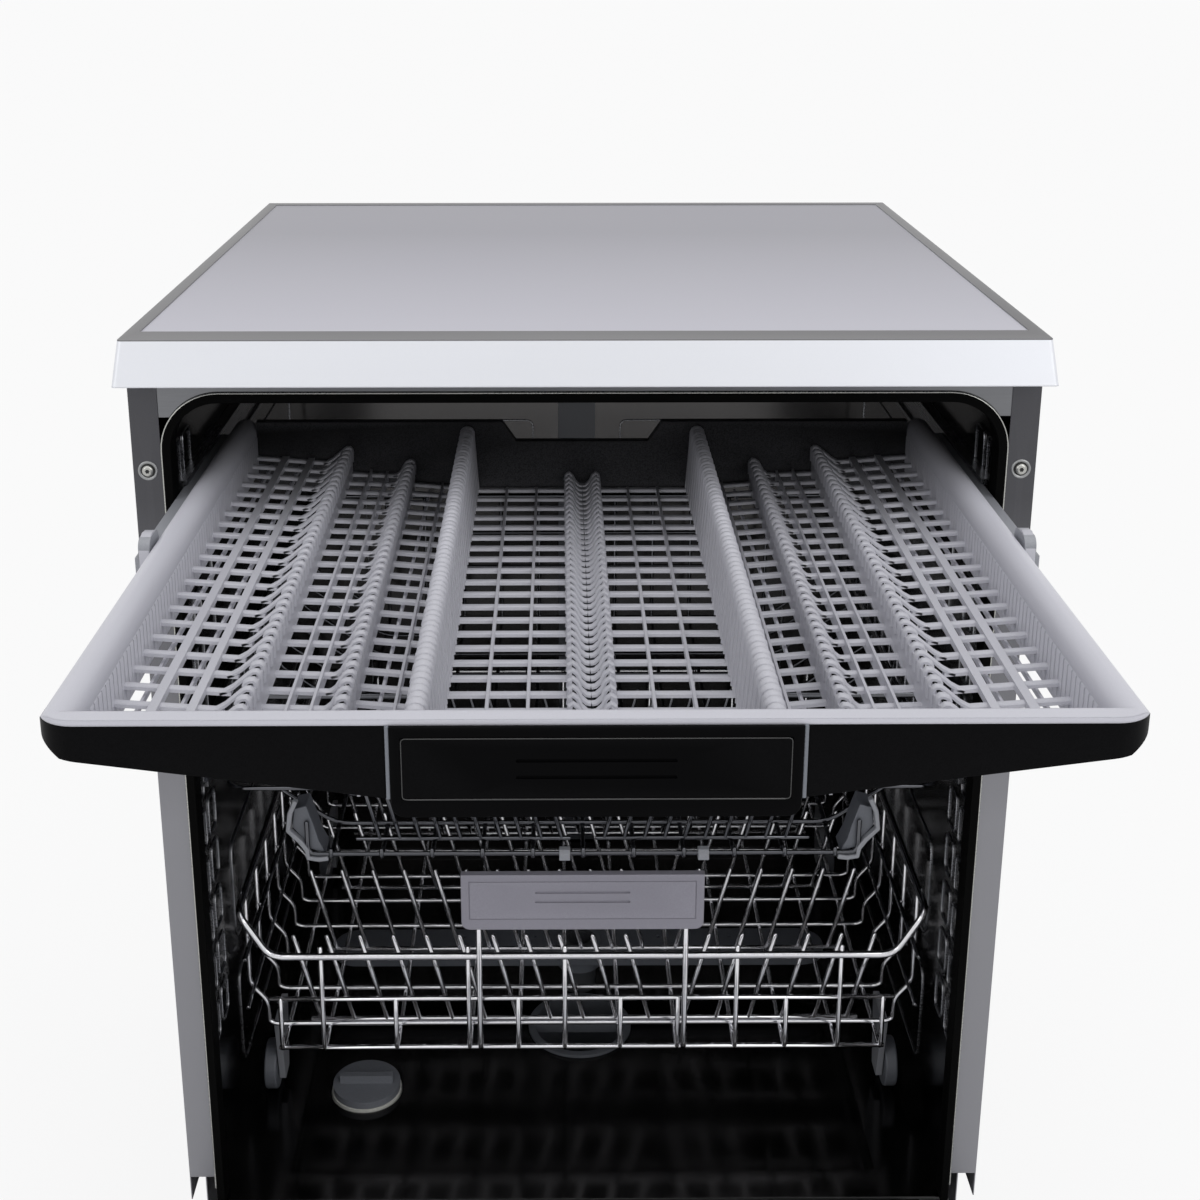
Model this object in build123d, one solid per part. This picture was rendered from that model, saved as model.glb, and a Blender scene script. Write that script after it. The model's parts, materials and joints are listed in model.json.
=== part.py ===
from build123d import *
import math
import os

# A free-standing dishwasher with a cutlery tray and two wire baskets, at rest with its door open.
# Millimetres, Z up from the floor, X to the right, Y to the back.
# The pieces are worked out with Y zero at the cabinet's front flanges, then all move by row_shift_y.

# Cabinet
cabinet_half = 295.0
cabinet_depth = 572.0
cabinet_top = 821.7
sheet = 0.8
flange_width = 18.8
flange_inner = cabinet_half - flange_width
flange_drop = 4.0
flange_top = cabinet_top - flange_drop
flange_foot = 205.0
side_foot = 14.0
toe_depth = 46.0
toe_height = 185.0
rear_lip = 15.0
rear_foot = 120.0
plinth_foot = 20.0
plinth_top = 112.0
plinth_sheet = 2.0
plinth_inset = 14.0
screw_inset = 9.5
screw_x = cabinet_half - screw_inset
screw_drop = 57.7
screw_z = flange_top - screw_drop
screw_hole_r = 2.2
screw_head_r = 3.8

# Worktop
worktop_gap = 0.3
worktop_thick = 28.0
worktop_lap = 1.0
worktop_flare = 3.0
worktop_foot = cabinet_top + worktop_gap
worktop_top = worktop_foot + worktop_thick
worktop_top_half = cabinet_half + worktop_lap
worktop_foot_half = worktop_top_half + worktop_flare
worktop_front_top = -13.0
worktop_front_foot = -24.0
worktop_back = cabinet_depth + worktop_lap
worktop_corner_r = 3.0
panel_side_land = 9.0
panel_rear_land = 13.0
panel_half = worktop_top_half - panel_side_land
panel_front = 13.0
panel_back = worktop_back - panel_rear_land
panel_depth = 18.0

# Tub
tub_side_gap = 1.2
tub_drop = 9.7
tub_rear_space = 27.0
tub_half = flange_inner - tub_side_gap
tub_top = cabinet_top - tub_drop
tub_corner_r = 38.0
tub_front = 0.5
tub_back = cabinet_depth - tub_rear_space
ledge_z = 180.0
ledge_width = 49.0
ledge_front = 4.0
basin_front = 34.0
basin_rear_ledge = 25.0
basin_back = tub_back - basin_rear_ledge
basin_depth = 14.0
basin_z = ledge_z - basin_depth
floor_sheet = 2.0
crossbar_depth = 16.0
crossbar_foot = tub_top - crossbar_depth
crossbar_thick = 2.0
shelf_inset = 9.0
shelf_half = cabinet_half - shelf_inset
shelf_front = -7.0
shelf_back = 40.0
seal_width = 5.7
seal_front = -2.8
seal_back = 14.0
fit_gap = 0.1
seat_gap = 0.3

# Door, in its closed position
hinge_y = -6.0
hinge_z = 160.0
door_lap = 2.0
door_half = cabinet_half + door_lap
door_front = -29.0
door_rise = 8.0
door_foot = hinge_z + door_rise
door_skin_top = 700.0
door_back = -4.3
flap_inset = 1.0
flap_drop = 34.0
flap_half = tub_half - flap_inset
flap_foot = hinge_z - flap_drop
fascia_step = 2.0
fascia_gap = 2.0
fascia_top_gap = 10.0
fascia_front = door_front - fascia_step
fascia_foot = door_skin_top + fascia_gap
fascia_top = worktop_foot - fascia_top_gap
fascia_wall = 2.5
liner_inset = 1.5
liner_half = door_half - liner_inset
liner_sheet = 0.7
liner_step = 1.0
liner_rise = 6.0
liner_top_inset = 4.0
liner_back = door_back + liner_step
liner_foot = hinge_z + liner_rise
liner_top = fascia_top - liner_top_inset
arm_gap = 2.5
arm_x = tub_half + arm_gap
arm_notch_gap = 1.0
liner_notch = arm_x - arm_notch_gap
notch_height = 40.0
notch_top = hinge_z + notch_height
bulge_side_gap = 17.0
bulge_foot_gap = 6.0
bulge_top_gap = 24.0
bulge_half = tub_half - bulge_side_gap
bulge_foot = ledge_z + bulge_foot_gap
bulge_top = tub_top - bulge_top_gap
bulge_back = 14.0
hinge_pin_r = 4.0
running_gap = 0.05
arm_thick = 2.5
arm_lug_r = 12.0
arm_length = 170.0
arm_strap = 18.0
tail_y = 5.0
tail_z = -34.0
tail_r = 5.0
bracket_step = 6.5
bracket_x = arm_x + bracket_step
bracket_back = 110.0
bracket_rise = 70.0
spring_r = 3.5
spring_foot = 44.0

# Controls and dispenser, in the door's closed position
button_r = 7.0
button_z = (fascia_foot + fascia_top) / 2
button_proud = 0.5
button_travel = 1.5
button_inset = 67.0
button_pitch = 80.0
start_x = door_half - button_inset
power_x = -start_x
programme_x = start_x - button_pitch
dispenser_half = 108.0
dispenser_foot = 430.0
dispenser_height = 120.0
dispenser_top = dispenser_foot + dispenser_height
dispenser_rim = 3.0
chamber_left = -95.0
chamber_right = -25.0
chamber_inset = 20.0
chamber_foot = dispenser_foot + chamber_inset
chamber_top = dispenser_top - chamber_inset
chamber_floor = -3.0
lid_thick = 3.0
lid_lap = 4.0
lid_travel = 70.0
rinse_x = 84.0
rinse_z = (dispenser_foot + dispenser_top) / 2
rinse_r = 17.0
latch_half = 8.0
latch_rise = 5.0
latch_height = 6.0
latch_foot = bulge_top + latch_rise
latch_top = latch_foot + latch_height

# Cutlery tray, pulled out
tray_side_gap = 16.0
tray_half = tub_half - tray_side_gap
tray_wall = 18.0
tray_front = -350.0
tray_length = 505.0
tray_headroom = 61.0
tray_height = 39.0
tray_rear = tray_front + tray_length
tray_top = tub_top - tray_headroom
tray_foot = tray_top - tray_height
tray_rim = 10.0
tray_rear_wall = 8.0
tray_corner_r = 20.0
tray_shell = 2.5
notch_half = 49.0
notch_depth = 15.0
floor_edge_drop = 31.0
floor_mid_drop = 51.0
tray_floor_edge = tray_top - floor_edge_drop
tray_floor_mid = tray_top - floor_mid_drop
divider_x = 83.0
divider_drop = 6.0
divider_top = tray_top - divider_drop
bar = 3.0
bar_pitch = 21.0
comb_thick = 2.0
side_comb_places = (0.133, 0.247, 0.551)
side_bar_places = (0.133, 0.247, 0.399, 0.551, 0.728, 0.854)
centre_comb_x = 12.0
comb_height = 14.0
tooth_pitch = 10.5
fascia_thick = 3.0
wing_end_depth = 20.0
wing_mid_depth = 40.0
wing_corner = 12.0
wing_corner_rise = 8.0
wing_sweep = 65.0
grip_half = 95.0
grip_depth = 49.0
grip_corner_r = 6.5
grip_proud = 2.0
grip_seat = 0.7
rib_width = 2.0
wing_start = grip_half + rib_width + seat_gap
wing_line = (
    (wing_start, tray_top - wing_mid_depth),
    (tray_half - wing_corner, tray_top - wing_end_depth),
    (tray_half, tray_top - wing_end_depth + wing_corner_rise),
)
slide_inner = tray_half + seat_gap
rail_depth = 6.5
slide_outer = tub_half - rail_depth
slide_drop = 28.0
slide_height = 18.0
slide_foot = tray_top - slide_drop
slide_top = slide_foot + slide_height
slide_inset = 5.0
slide_length = 250.0
slide_rear = tray_rear - slide_inset
slide_front = slide_rear - slide_length
hook_half = 12.0
rail_rear_gap = 5.0
rail_back = tub_back - rail_rear_gap
rail_front = 25.0
lip_width = 2.0
rail_lip = slide_outer - lip_width

# Upper basket
upper_floor = 452.0
upper_front = 45.0
upper_rear_gap = 45.0
upper_rear = tub_back - upper_rear_gap
upper_floor_half = 185.0
upper_side_gap = 14.0
upper_half = tub_half - upper_side_gap
upper_rise = 48.0
upper_wall = 75.0
upper_shoulder = upper_floor + upper_rise
upper_rim = upper_shoulder + upper_wall
upper_wire = 3.5
upper_tine_pitch = 15.0
upper_tine = 60.0
runner_rise = 22.0
runner_height = 21.0
runner_foot = upper_shoulder + runner_rise
runner_top = runner_foot + runner_height
rack_pivot_r = 2.5
rack_rise = 20.0
rack_z = upper_shoulder + rack_rise
rack_width = 80.0
rack_wire = 3.0
rack_inset = 45.0
rack_rear_inset = 60.0
rack_front = upper_front + rack_inset
rack_rear = upper_rear - rack_rear_inset

# Lower basket
lower_lift = 77.0
lower_floor = ledge_z + lower_lift
lower_wire = 4.0
lower_front = 82.0
lower_rear_gap = 16.0
lower_rear = tub_back - lower_rear_gap
lower_side_gap = 10.5
lower_half = tub_half - lower_side_gap
lower_slant = 15.5
lower_rows = (117.0, 165.0, 211.0, 257.0, 298.0, 339.0, 385.0, 430.0, 475.0)
lower_floor_half = lower_half - lower_slant
lower_rise = 35.0
lower_height = 121.0
lower_front_height = 83.0
lower_shoulder = lower_floor + lower_rise
lower_rim = lower_floor + lower_height
lower_front_rim = lower_floor + lower_front_height
front_corner = 22.5
lower_front_half = lower_half - front_corner
rim_r = 3.0
tine_r = 2.0
tine_length = 75.0
tine_lean = 14.5
tine_pitch = 26.4
tine_first_left = -209.6
tine_count_left = 11
tine_first_right = 82.0
tine_count_right = 6
tine_row_front = 117.0
tine_row_rear = 215.0
fixed_rows = (313.0, 411.0)
handle_half = 92.0
handle_rise = 32.0
handle_height = 47.0
handle_foot = lower_front_rim + handle_rise
handle_top = handle_foot + handle_height
handle_proud = 14.0
handle_front = lower_front - handle_proud
handle_thick = 6.3
handle_wire_x = 79.5
wheel_r = 20.0
wheel_width = 10.0
wheel_inset = 9.5
wheel_x = lower_half - wheel_inset
wheel_front = 140.0
wheel_rear = 470.0
wheel_pin_r = 4.0

# Spray arms and water parts
arm_centre_y = 300.0
arm_height = 10.0
arm_width = 46.0
lower_arm_half = 225.0
lower_arm_z = 200.0
lower_pipe_r = 15.5
middle_arm_half = 220.0
middle_arm_drop = 27.0
middle_arm_z = upper_floor - middle_arm_drop
hub_pin_r = 9.0
upper_arm_half = 200.0
upper_arm_drop = 34.0
upper_arm_z = tub_top - upper_arm_drop
hub_wall = 5.0
duct_half = 18.0
duct_depth = 11.5
sump_half = 95.0
sump_foot = 72.0
sump_front = 190.0
sump_rear = 395.0
filter_y = 235.0
filter_r = 41.5
filter_bore_r = 42.0
filter_foot = 80.0
base_side_gap = 5.0
base_rear_gap = 7.0
base_half = cabinet_half - base_side_gap
base_back = cabinet_depth - base_rear_gap
base_foot = 14.0
base_wall = 3.0
base_height = 46.0
foot_r = 20.0
foot_inset = 35.0
foot_toe_gap = 34.0
foot_x = base_half - foot_inset
foot_front_y = toe_depth + foot_toe_gap
foot_back_y = base_back - foot_inset
pump_y = 330.0
pump_z = 105.0
pump_head_r = 44.0
pump_head = 32.0
pump_motor_r = 36.0
pump_length = 122.0
softener_x = -180.0
softener_y = 150.0
softener_r = 55.0
neck_r = 29.0
salt_bore_r = 24.0
inlet_thread_r = 13.2
inlet_thread_length = 14.0
inlet_x = 200.0
inlet_z = 76.0
drain_spigot_r = 9.5
drain_spigot_length = 24.0
drain_x = -120.0
gland_r = 4.5
gland_length = 22.0
gland_x = 130.0

rack_x = upper_half - upper_wire - seat_gap - rack_pivot_r

# Where the row's origin lies: the middle of the floor under the whole part, door open
door_reach = hinge_y - (fascia_top - hinge_z)
row_shift_y = -(door_reach + worktop_back) / 2


def block(x0, x1, y0, y1, z0, z1):
    """A box from its corners."""
    return Pos((x0 + x1) / 2, (y0 + y1) / 2, (z0 + z1) / 2) * Box(x1 - x0, y1 - y0, z1 - z0)


def rod(start, end, radius):
    """A straight round wire or pin."""
    run = Vector(*end) - Vector(*start)
    return Solid.make_cylinder(radius, run.length, Plane(origin=start, z_dir=run))


def tube(start, end, outer, inner):
    """A straight round tube."""
    return rod(start, end, outer) - rod(start, end, inner)


def plate_x(points, x0, x1):
    """A flat plate from an outline in Y and Z."""
    face = make_face(Polyline(*[(x0, y, z) for y, z in points], close=True).edges())
    return extrude(face, amount=x1 - x0, dir=(1, 0, 0))


def plate_y(points, y0, y1):
    """A flat plate from an outline in X and Z."""
    face = make_face(Polyline(*[(x, y0, z) for x, z in points], close=True).edges())
    return extrude(face, amount=y1 - y0, dir=(0, 1, 0))


def level_face(half, y0, y1, z):
    """A level rectangle, the same to left and right."""
    corners = [(-half, y0, z), (half, y0, z), (half, y1, z), (-half, y1, z)]
    return make_face(Polyline(*corners, close=True).edges())


def spread(first, last, pitch):
    """Even places from first to last, as near to the pitch as fits."""
    count = max(1, round((last - first) / pitch))
    return [first + (last - first) * i / count for i in range(count + 1)]


def loop(u0, u1, v0, v1):
    """A rectangle as a wire."""
    return Wire.make_polygon([(u0, v0, 0), (u1, v0, 0), (u1, v1, 0), (u0, v1, 0)])


def mat(along, across, wire):
    """A flat welded mat in its own plane: wires centred on each value of along and across."""
    half = wire / 2
    holes = [
        loop(a + half, b - half, c + half, d - half)
        for a, b in zip(along, along[1:])
        for c, d in zip(across, across[1:])
    ]
    edge = loop(along[0] - half, along[-1] + half, across[0] - half, across[-1] + half)
    return extrude(Face(edge, holes), amount=wire)


def mat_on(origin, x_dir, z_dir, along, across, wire):
    """A mat laid on a plane, its thickness on the side that z_dir points to."""
    return Plane(origin=origin, x_dir=x_dir, z_dir=z_dir).location * mat(along, across, wire)


def mirror_x(shape):
    """The same piece on the other side of the machine."""
    return mirror(shape, about=Plane.YZ)


def both_sides(shapes):
    """Pieces of one side and their mirrored partners."""
    return list(shapes) + [mirror_x(shape) for shape in shapes]


def opened(shape):
    """A piece of the door, turned from its closed position to the open one."""
    return shape.rotate(Axis((0, hinge_y, hinge_z), (1, 0, 0)), 90)


def solids_of(shape):
    """Every solid in a shape or a list of shapes."""
    if isinstance(shape, (list, tuple)):
        return [solid for item in shape for solid in solids_of(item)]
    return list(shape.solids())


def save(name, *shapes):
    """Writes one node, moved to the row's frame."""
    found = [solid.moved(Location((0, row_shift_y, 0))) for solid in solids_of(list(shapes))]
    export_step(found[0] if len(found) == 1 else Compound(children=found), f"parts/{name}.step")


def arch(half, top, radius, foot, y0, y1):
    """A door-shaped prism with rounded top corners."""
    body = block(-half, half, y0, y1, foot, top)
    edges = body.edges().filter_by(Axis.Y).sort_by(Axis.Z)[-2:]
    return fillet(edges, radius)


# Cabinet


def side_panel():
    """The right side sheet with its front flange and rear lip, cut away at the toe."""
    outline = [
        (0, cabinet_top),
        (cabinet_depth, cabinet_top),
        (cabinet_depth, side_foot),
        (toe_depth, side_foot),
        (toe_depth, toe_height),
        (0, toe_height),
    ]
    skin = plate_x(outline, cabinet_half - sheet, cabinet_half)
    flange = block(flange_inner, cabinet_half, 0, sheet, flange_foot, flange_top)
    lip_y = cabinet_depth - sheet
    lip = block(cabinet_half - rear_lip, cabinet_half, lip_y, cabinet_depth, side_foot, cabinet_top)
    hole = rod((screw_x, -1, screw_z), (screw_x, sheet + 1, screw_z), screw_hole_r)
    return skin + flange + lip - hole


def flange_screws():
    """The two screws that hold the crossbar's ends, one in each front flange."""
    head = rod((screw_x, -2.2, screw_z), (screw_x, 0, screw_z), screw_head_r)
    drive = rod((screw_x, -2.3, screw_z), (screw_x, -1.2, screw_z), 1.8)
    shank = rod((screw_x, 0, screw_z), (screw_x, 9, screw_z), screw_hole_r - fit_gap)
    return both_sides([head - drive + shank])


def rear_panel():
    """The flat rear sheet, stopping above the water and power connections."""
    half = cabinet_half - sheet
    return block(-half, half, cabinet_depth, cabinet_depth + sheet, rear_foot, cabinet_top)


def base_tray():
    """The moulded base pan that carries the pump group, with a boss over each foot."""
    outer = block(-base_half, base_half, toe_depth + 1, base_back, base_foot, base_foot + base_height)
    inner = block(
        -base_half + base_wall,
        base_half - base_wall,
        toe_depth + 1 + base_wall,
        base_back - base_wall,
        base_foot + base_wall,
        base_foot + base_height + 1,
    )
    pan = outer - inner
    for x in (-foot_x, foot_x):
        for y in (foot_front_y, foot_back_y):
            pan += rod((x, y, base_foot + 1), (x, y, base_foot + 22), 13)
            pan -= rod((x, y, base_foot - 1), (x, y, base_foot + 30), 5.2)
    return pan


def feet():
    """Four levelling feet: a round pad and a threaded stem in the base's boss."""
    made = []
    for x in (-foot_x, foot_x):
        for y in (foot_front_y, foot_back_y):
            pad = rod((x, y, 0), (x, y, 8), foot_r)
            stem = rod((x, y, 8), (x, y, base_foot + 22), 5.1)
            made.append(pad + stem)
    return made


def plinth():
    """The kick plate in the toe recess, with a return at its top."""
    half = cabinet_half - plinth_inset
    front = block(-half, half, toe_depth - 1, toe_depth + 0.7, plinth_foot, plinth_top)
    shelf = block(-half, half, toe_depth - 1, toe_depth + 18, plinth_top - plinth_sheet, plinth_top)
    return front + shelf


def worktop_frame():
    """The frame round the worktop panel: a slanted front fascia and slanted sides."""
    body = loft(
        [
            level_face(worktop_foot_half, worktop_front_foot, worktop_back, worktop_foot),
            level_face(worktop_top_half, worktop_front_top, worktop_back, worktop_top),
        ]
    )
    uprights = [edge for edge in body.edges() if abs(edge.tangent_at(0.5).Z) > 0.8]
    front_two = sorted(uprights, key=lambda edge: edge.center().Y)[:2]
    body = fillet(front_two, worktop_corner_r)
    recess = block(
        -panel_half, panel_half, panel_front, panel_back, worktop_top - panel_depth, worktop_top + 1
    )
    under = block(
        -panel_half + 6, panel_half - 6, panel_front + 6, panel_back - 6, worktop_foot - 1, worktop_top
    )
    return body - recess - under


def worktop_panel():
    """The pale panel let into the worktop frame."""
    return block(
        -panel_half + fit_gap,
        panel_half - fit_gap,
        panel_front + fit_gap,
        panel_back - fit_gap,
        worktop_top - panel_depth,
        worktop_top - 0.6,
    )


def front_crossbar():
    """The bar over the tub's mouth, cut to its rounded corners, with the strip under the worktop."""
    plate = block(
        -flange_inner + fit_gap,
        flange_inner - fit_gap,
        0.2,
        0.2 + crossbar_thick,
        crossbar_foot,
        flange_top + 1,
    )
    mouth = arch(tub_half + sheet + fit_gap, tub_top + sheet + fit_gap, tub_corner_r + sheet, 0, -5, 50)
    shelf = block(-shelf_half, shelf_half, shelf_front, shelf_back, flange_top + 0.3, cabinet_top)
    return plate - mouth + shelf


# Tub


def tub_wrapper():
    """The bent sheet that makes the tub's two sides and its ceiling."""
    outer = arch(tub_half + sheet, tub_top + sheet, tub_corner_r + sheet, ledge_z, tub_front, tub_back)
    inner = arch(tub_half, tub_top, tub_corner_r, ledge_z - 1, tub_front - 1, tub_back + 1)
    return outer - inner


def tub_rear_wall():
    """The tub's rear sheet, closing the wrapper."""
    return arch(
        tub_half + sheet, tub_top + sheet, tub_corner_r + sheet, basin_z, tub_back, tub_back + sheet
    )


def tub_floor():
    """The tub's floor: wheel ledges at the sides and a basin with openings for sump and softener."""
    half = tub_half + sheet
    shell = block(-half, half, ledge_front, tub_back, basin_z - floor_sheet, ledge_z)
    well = tub_half - ledge_width
    hollow = block(-well, well, basin_front, basin_back, basin_z, ledge_z + 1)
    under = block(
        -half - 1, -well - floor_sheet, ledge_front - 1, tub_back + 1, 0, ledge_z - floor_sheet
    )
    front_under = block(
        -half - 1, half + 1, ledge_front - 1, basin_front - floor_sheet, 0, ledge_z - floor_sheet
    )
    back_under = block(
        -half - 1, half + 1, basin_back + floor_sheet, tub_back + 1, 0, ledge_z - floor_sheet
    )
    floor = shell - hollow - under - mirror_x(under) - front_under - back_under
    floor -= rod((0, filter_y, 100), (0, filter_y, 200), filter_bore_r)
    floor -= rod((0, arm_centre_y, 100), (0, arm_centre_y, 200), lower_pipe_r + 0.5)
    floor -= rod((softener_x, softener_y, 100), (softener_x, softener_y, 200), neck_r + 1)
    return floor


def door_gasket():
    """The black seal just inside the tub's mouth, round its sides and top."""
    outer = arch(tub_half - fit_gap, tub_top - fit_gap, tub_corner_r, ledge_z + 2, seal_front, seal_back)
    inner = arch(
        tub_half - fit_gap - seal_width,
        tub_top - fit_gap - seal_width,
        tub_corner_r - seal_width,
        ledge_z,
        seal_front - 1,
        seal_back + 1,
    )
    return outer - inner


def tray_rail():
    """The right fixed rail of the cutlery tray, a channel on the tub's side wall."""
    wall = tub_half - fit_gap
    web = block(slide_outer + 0.5, wall, rail_front, rail_back, slide_foot - 4, slide_top + 4)
    low = block(rail_lip, wall, rail_front, rail_back, slide_foot - 4, slide_foot - 1)
    high = block(rail_lip, wall, rail_front, rail_back, slide_top + 1, slide_top + 4)
    return web + low + high


def basket_rail():
    """The right fixed rail of the upper basket."""
    wall = tub_half - fit_gap
    web = block(slide_outer + 1, wall, rail_front, rail_back, runner_foot - 5, runner_top + 5)
    low = block(rail_lip, wall, rail_front, rail_back, runner_foot - 5, runner_foot - 1)
    high = block(rail_lip, wall, rail_front, rail_back, runner_top + 1, runner_top + 5)
    return web + low + high


# Door


def door_outer_panel():
    """The painted outer skin of the door, with side returns and a narrow flap below the hinges."""
    front = block(-door_half, door_half, door_front, door_front + sheet, door_foot, door_skin_top)
    side = block(door_half - sheet, door_half, door_front, door_back, door_foot, door_skin_top)
    top = block(-door_half, door_half, door_front, door_back, door_skin_top - sheet, door_skin_top)
    flap = block(-flap_half, flap_half, door_front, door_front + sheet, flap_foot, door_foot)
    lip = block(-flap_half, flap_half, door_front, door_front + 8, flap_foot, flap_foot + sheet)
    return front + side + mirror_x(side) + top + flap + lip


def door_inner_liner():
    """The steel inner door: a flat rim and a raised middle that enters the tub's mouth."""
    rim = block(-liner_half, liner_half, liner_back - liner_sheet, liner_back, liner_foot, liner_top)
    rim -= block(liner_notch, liner_half + 1, -10, 5, liner_foot - 1, notch_top)
    rim -= block(-liner_half - 1, -liner_notch, -10, 5, liner_foot - 1, notch_top)
    raised = block(-bulge_half, bulge_half, liner_back - liner_sheet, bulge_back, bulge_foot, bulge_top)
    raised = fillet(raised.edges().filter_by(Axis.Y), 12)
    hollow = block(
        -bulge_half + liner_sheet,
        bulge_half - liner_sheet,
        liner_back - 2,
        bulge_back - liner_sheet,
        bulge_foot + liner_sheet,
        bulge_top - liner_sheet,
    )
    hollow = fillet(hollow.edges().filter_by(Axis.Y), 12 - liner_sheet)
    liner = rim + raised - hollow
    liner -= block(
        -dispenser_half + 6, dispenser_half - 6, 0, 20, dispenser_foot + 6, dispenser_top - 6
    )
    liner -= block(
        -latch_half - 0.4, latch_half + 0.4, -10, 5, latch_foot - 0.4, latch_top + 0.4
    )
    return liner


def control_fascia():
    """The control panel across the door's top, open at its back, with a hole for each button."""
    outer = block(-door_half, door_half, fascia_front, door_back, fascia_foot, fascia_top)
    outer = fillet(outer.edges().filter_by(Axis.X).group_by(Axis.Y)[0], 2.0)
    inner = block(
        -door_half + fascia_wall,
        door_half - fascia_wall,
        fascia_front + fascia_wall,
        door_back + 1,
        fascia_foot + fascia_wall,
        fascia_top - fascia_wall,
    )
    shell = outer - inner
    for x in (power_x, programme_x, start_x):
        shell -= rod((x, fascia_front - 1, button_z), (x, fascia_front + 5, button_z), button_r + 0.3)
    window = block(-40, 60, fascia_front - 1, fascia_front + 0.8, button_z - 14, button_z + 14)
    return shell - window


def button(x):
    """A round push button with a collar behind the fascia."""
    behind = fascia_front + fascia_wall + 0.3
    face = fascia_front - button_travel - button_proud
    cap = rod((x, face, button_z), (x, behind + 3, button_z), button_r)
    collar = rod((x, behind, button_z), (x, behind + 1.8, button_z), button_r + 2)
    return opened(cap + collar)


def hinge_arm():
    """The right hinge arm: a strap in the door, the pivot lug and the tail for the spring."""
    strap_back = liner_back - liner_sheet - seat_gap
    strap = block(
        arm_x, arm_x + arm_thick, strap_back - arm_strap, strap_back, hinge_z, hinge_z + arm_length
    )
    lug = rod((arm_x, hinge_y, hinge_z), (arm_x + arm_thick, hinge_y, hinge_z), arm_lug_r)
    ty, tz = hinge_y + tail_y, hinge_z + tail_z
    tail = plate_x(
        [
            (hinge_y - 7, hinge_z),
            (hinge_y + 7, hinge_z),
            (ty + tail_r, tz),
            (ty - tail_r, tz),
        ],
        arm_x,
        arm_x + arm_thick,
    )
    end = rod((arm_x, ty, tz), (arm_x + arm_thick, ty, tz), tail_r)
    bore = rod(
        (arm_x - 1, hinge_y, hinge_z),
        (arm_x + arm_thick + 1, hinge_y, hinge_z),
        hinge_pin_r + running_gap,
    )
    return opened(strap + lug + tail + end - bore)


def hinge_bracket():
    """The right hinge bracket on the base, with the pivot pin and the spring's lower pin."""
    hook_y = hinge_y - tail_z
    outline = [
        (hinge_y - arm_lug_r, hinge_z),
        (hinge_y + arm_lug_r, hinge_z),
        (bracket_back, bracket_rise),
        (bracket_back, base_foot + base_wall),
        (toe_depth + 4.5, base_foot + base_wall),
        (toe_depth + 4.5, 62),
        (hook_y + 8, 62),
        (hook_y + 8, spring_foot - 8),
        (hook_y - 10, spring_foot - 8),
        (hook_y - 10, 96),
    ]
    cheek = plate_x(outline, bracket_x, bracket_x + arm_thick)
    lug = rod((bracket_x, hinge_y, hinge_z), (bracket_x + arm_thick, hinge_y, hinge_z), arm_lug_r)
    pin = rod((tub_half + 1.6, hinge_y, hinge_z), (bracket_x, hinge_y, hinge_z), hinge_pin_r)
    hook = rod((arm_x - 1, hook_y, spring_foot), (bracket_x, hook_y, spring_foot), 2)
    return cheek + lug + pin + hook


def door_spring():
    """The right balance spring, stretched from the bracket's lower pin to the hinge arm's tail."""
    x = arm_x + arm_thick / 2
    y = hinge_y - tail_z
    top = hinge_z + tail_y - tail_r - seat_gap
    coil = rod((x, y, spring_foot + 10), (x, y, top - 8), spring_r)
    stem = rod((x, y, spring_foot + 2 + seat_gap), (x, y, top), 1.2)
    return coil + stem


def dispenser_body():
    """The detergent and rinse-aid dispenser let into the inner door."""
    face = bulge_back
    top = face + dispenser_rim
    box = block(
        -dispenser_half + 6 + seat_gap,
        dispenser_half - 6 - seat_gap,
        -8,
        face,
        dispenser_foot + 6 + seat_gap,
        dispenser_top - 6 - seat_gap,
    )
    rim = block(-dispenser_half, dispenser_half, face, top, dispenser_foot, dispenser_top)
    body = box + fillet(rim.edges().filter_by(Axis.Y), 10)
    body -= block(chamber_left, chamber_right, chamber_floor, top + 1, chamber_foot, chamber_top)
    guide_end = chamber_right + lid_lap + lid_travel + 2
    for z0, z1 in (
        (chamber_foot - lid_lap - 4, chamber_foot - lid_lap - seat_gap),
        (chamber_top + lid_lap + seat_gap, chamber_top + lid_lap + 4),
    ):
        body += block(chamber_left - lid_lap, guide_end, top, top + lid_thick + 0.3, z0, z1)
    body -= rod((rinse_x, 2, rinse_z), (rinse_x, top + 1, rinse_z), 10.5)
    return opened(body)


def dispenser_lid():
    """The lid that slides sideways off the detergent chamber, with a ridge for the finger."""
    y0 = bulge_back + dispenser_rim + seat_gap
    plate = block(
        chamber_left - lid_lap,
        chamber_right + lid_lap,
        y0,
        y0 + lid_thick,
        chamber_foot - lid_lap,
        chamber_top + lid_lap,
    )
    ridge = block(
        chamber_left + 4,
        chamber_left + 8,
        y0 + lid_thick,
        y0 + lid_thick + 3,
        chamber_foot + 15,
        chamber_top - 15,
    )
    return opened(plate + ridge)


def rinse_aid_cap():
    """The turning cap of the rinse-aid filler, with a finger bar and a stem in its neck."""
    y0 = bulge_back + dispenser_rim + seat_gap
    disc = rod((rinse_x, y0, rinse_z), (rinse_x, y0 + 4, rinse_z), rinse_r)
    grip = block(rinse_x - 13, rinse_x + 13, y0 + 4, y0 + 8, rinse_z - 2.5, rinse_z + 2.5)
    stem = rod((rinse_x, 4, rinse_z), (rinse_x, y0, rinse_z), 10)
    return opened(disc + grip + stem)


def door_latch():
    """The sprung bolt in the door's top that catches inside the tub's mouth."""
    bolt = block(-latch_half, latch_half, -18, 8, latch_foot, latch_top)
    nose = bolt.edges().filter_by(Axis.X).group_by(Axis.Y)[-1].sort_by(Axis.Z)[0]
    return opened(chamfer(nose, 3))


# Cutlery tray


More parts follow.
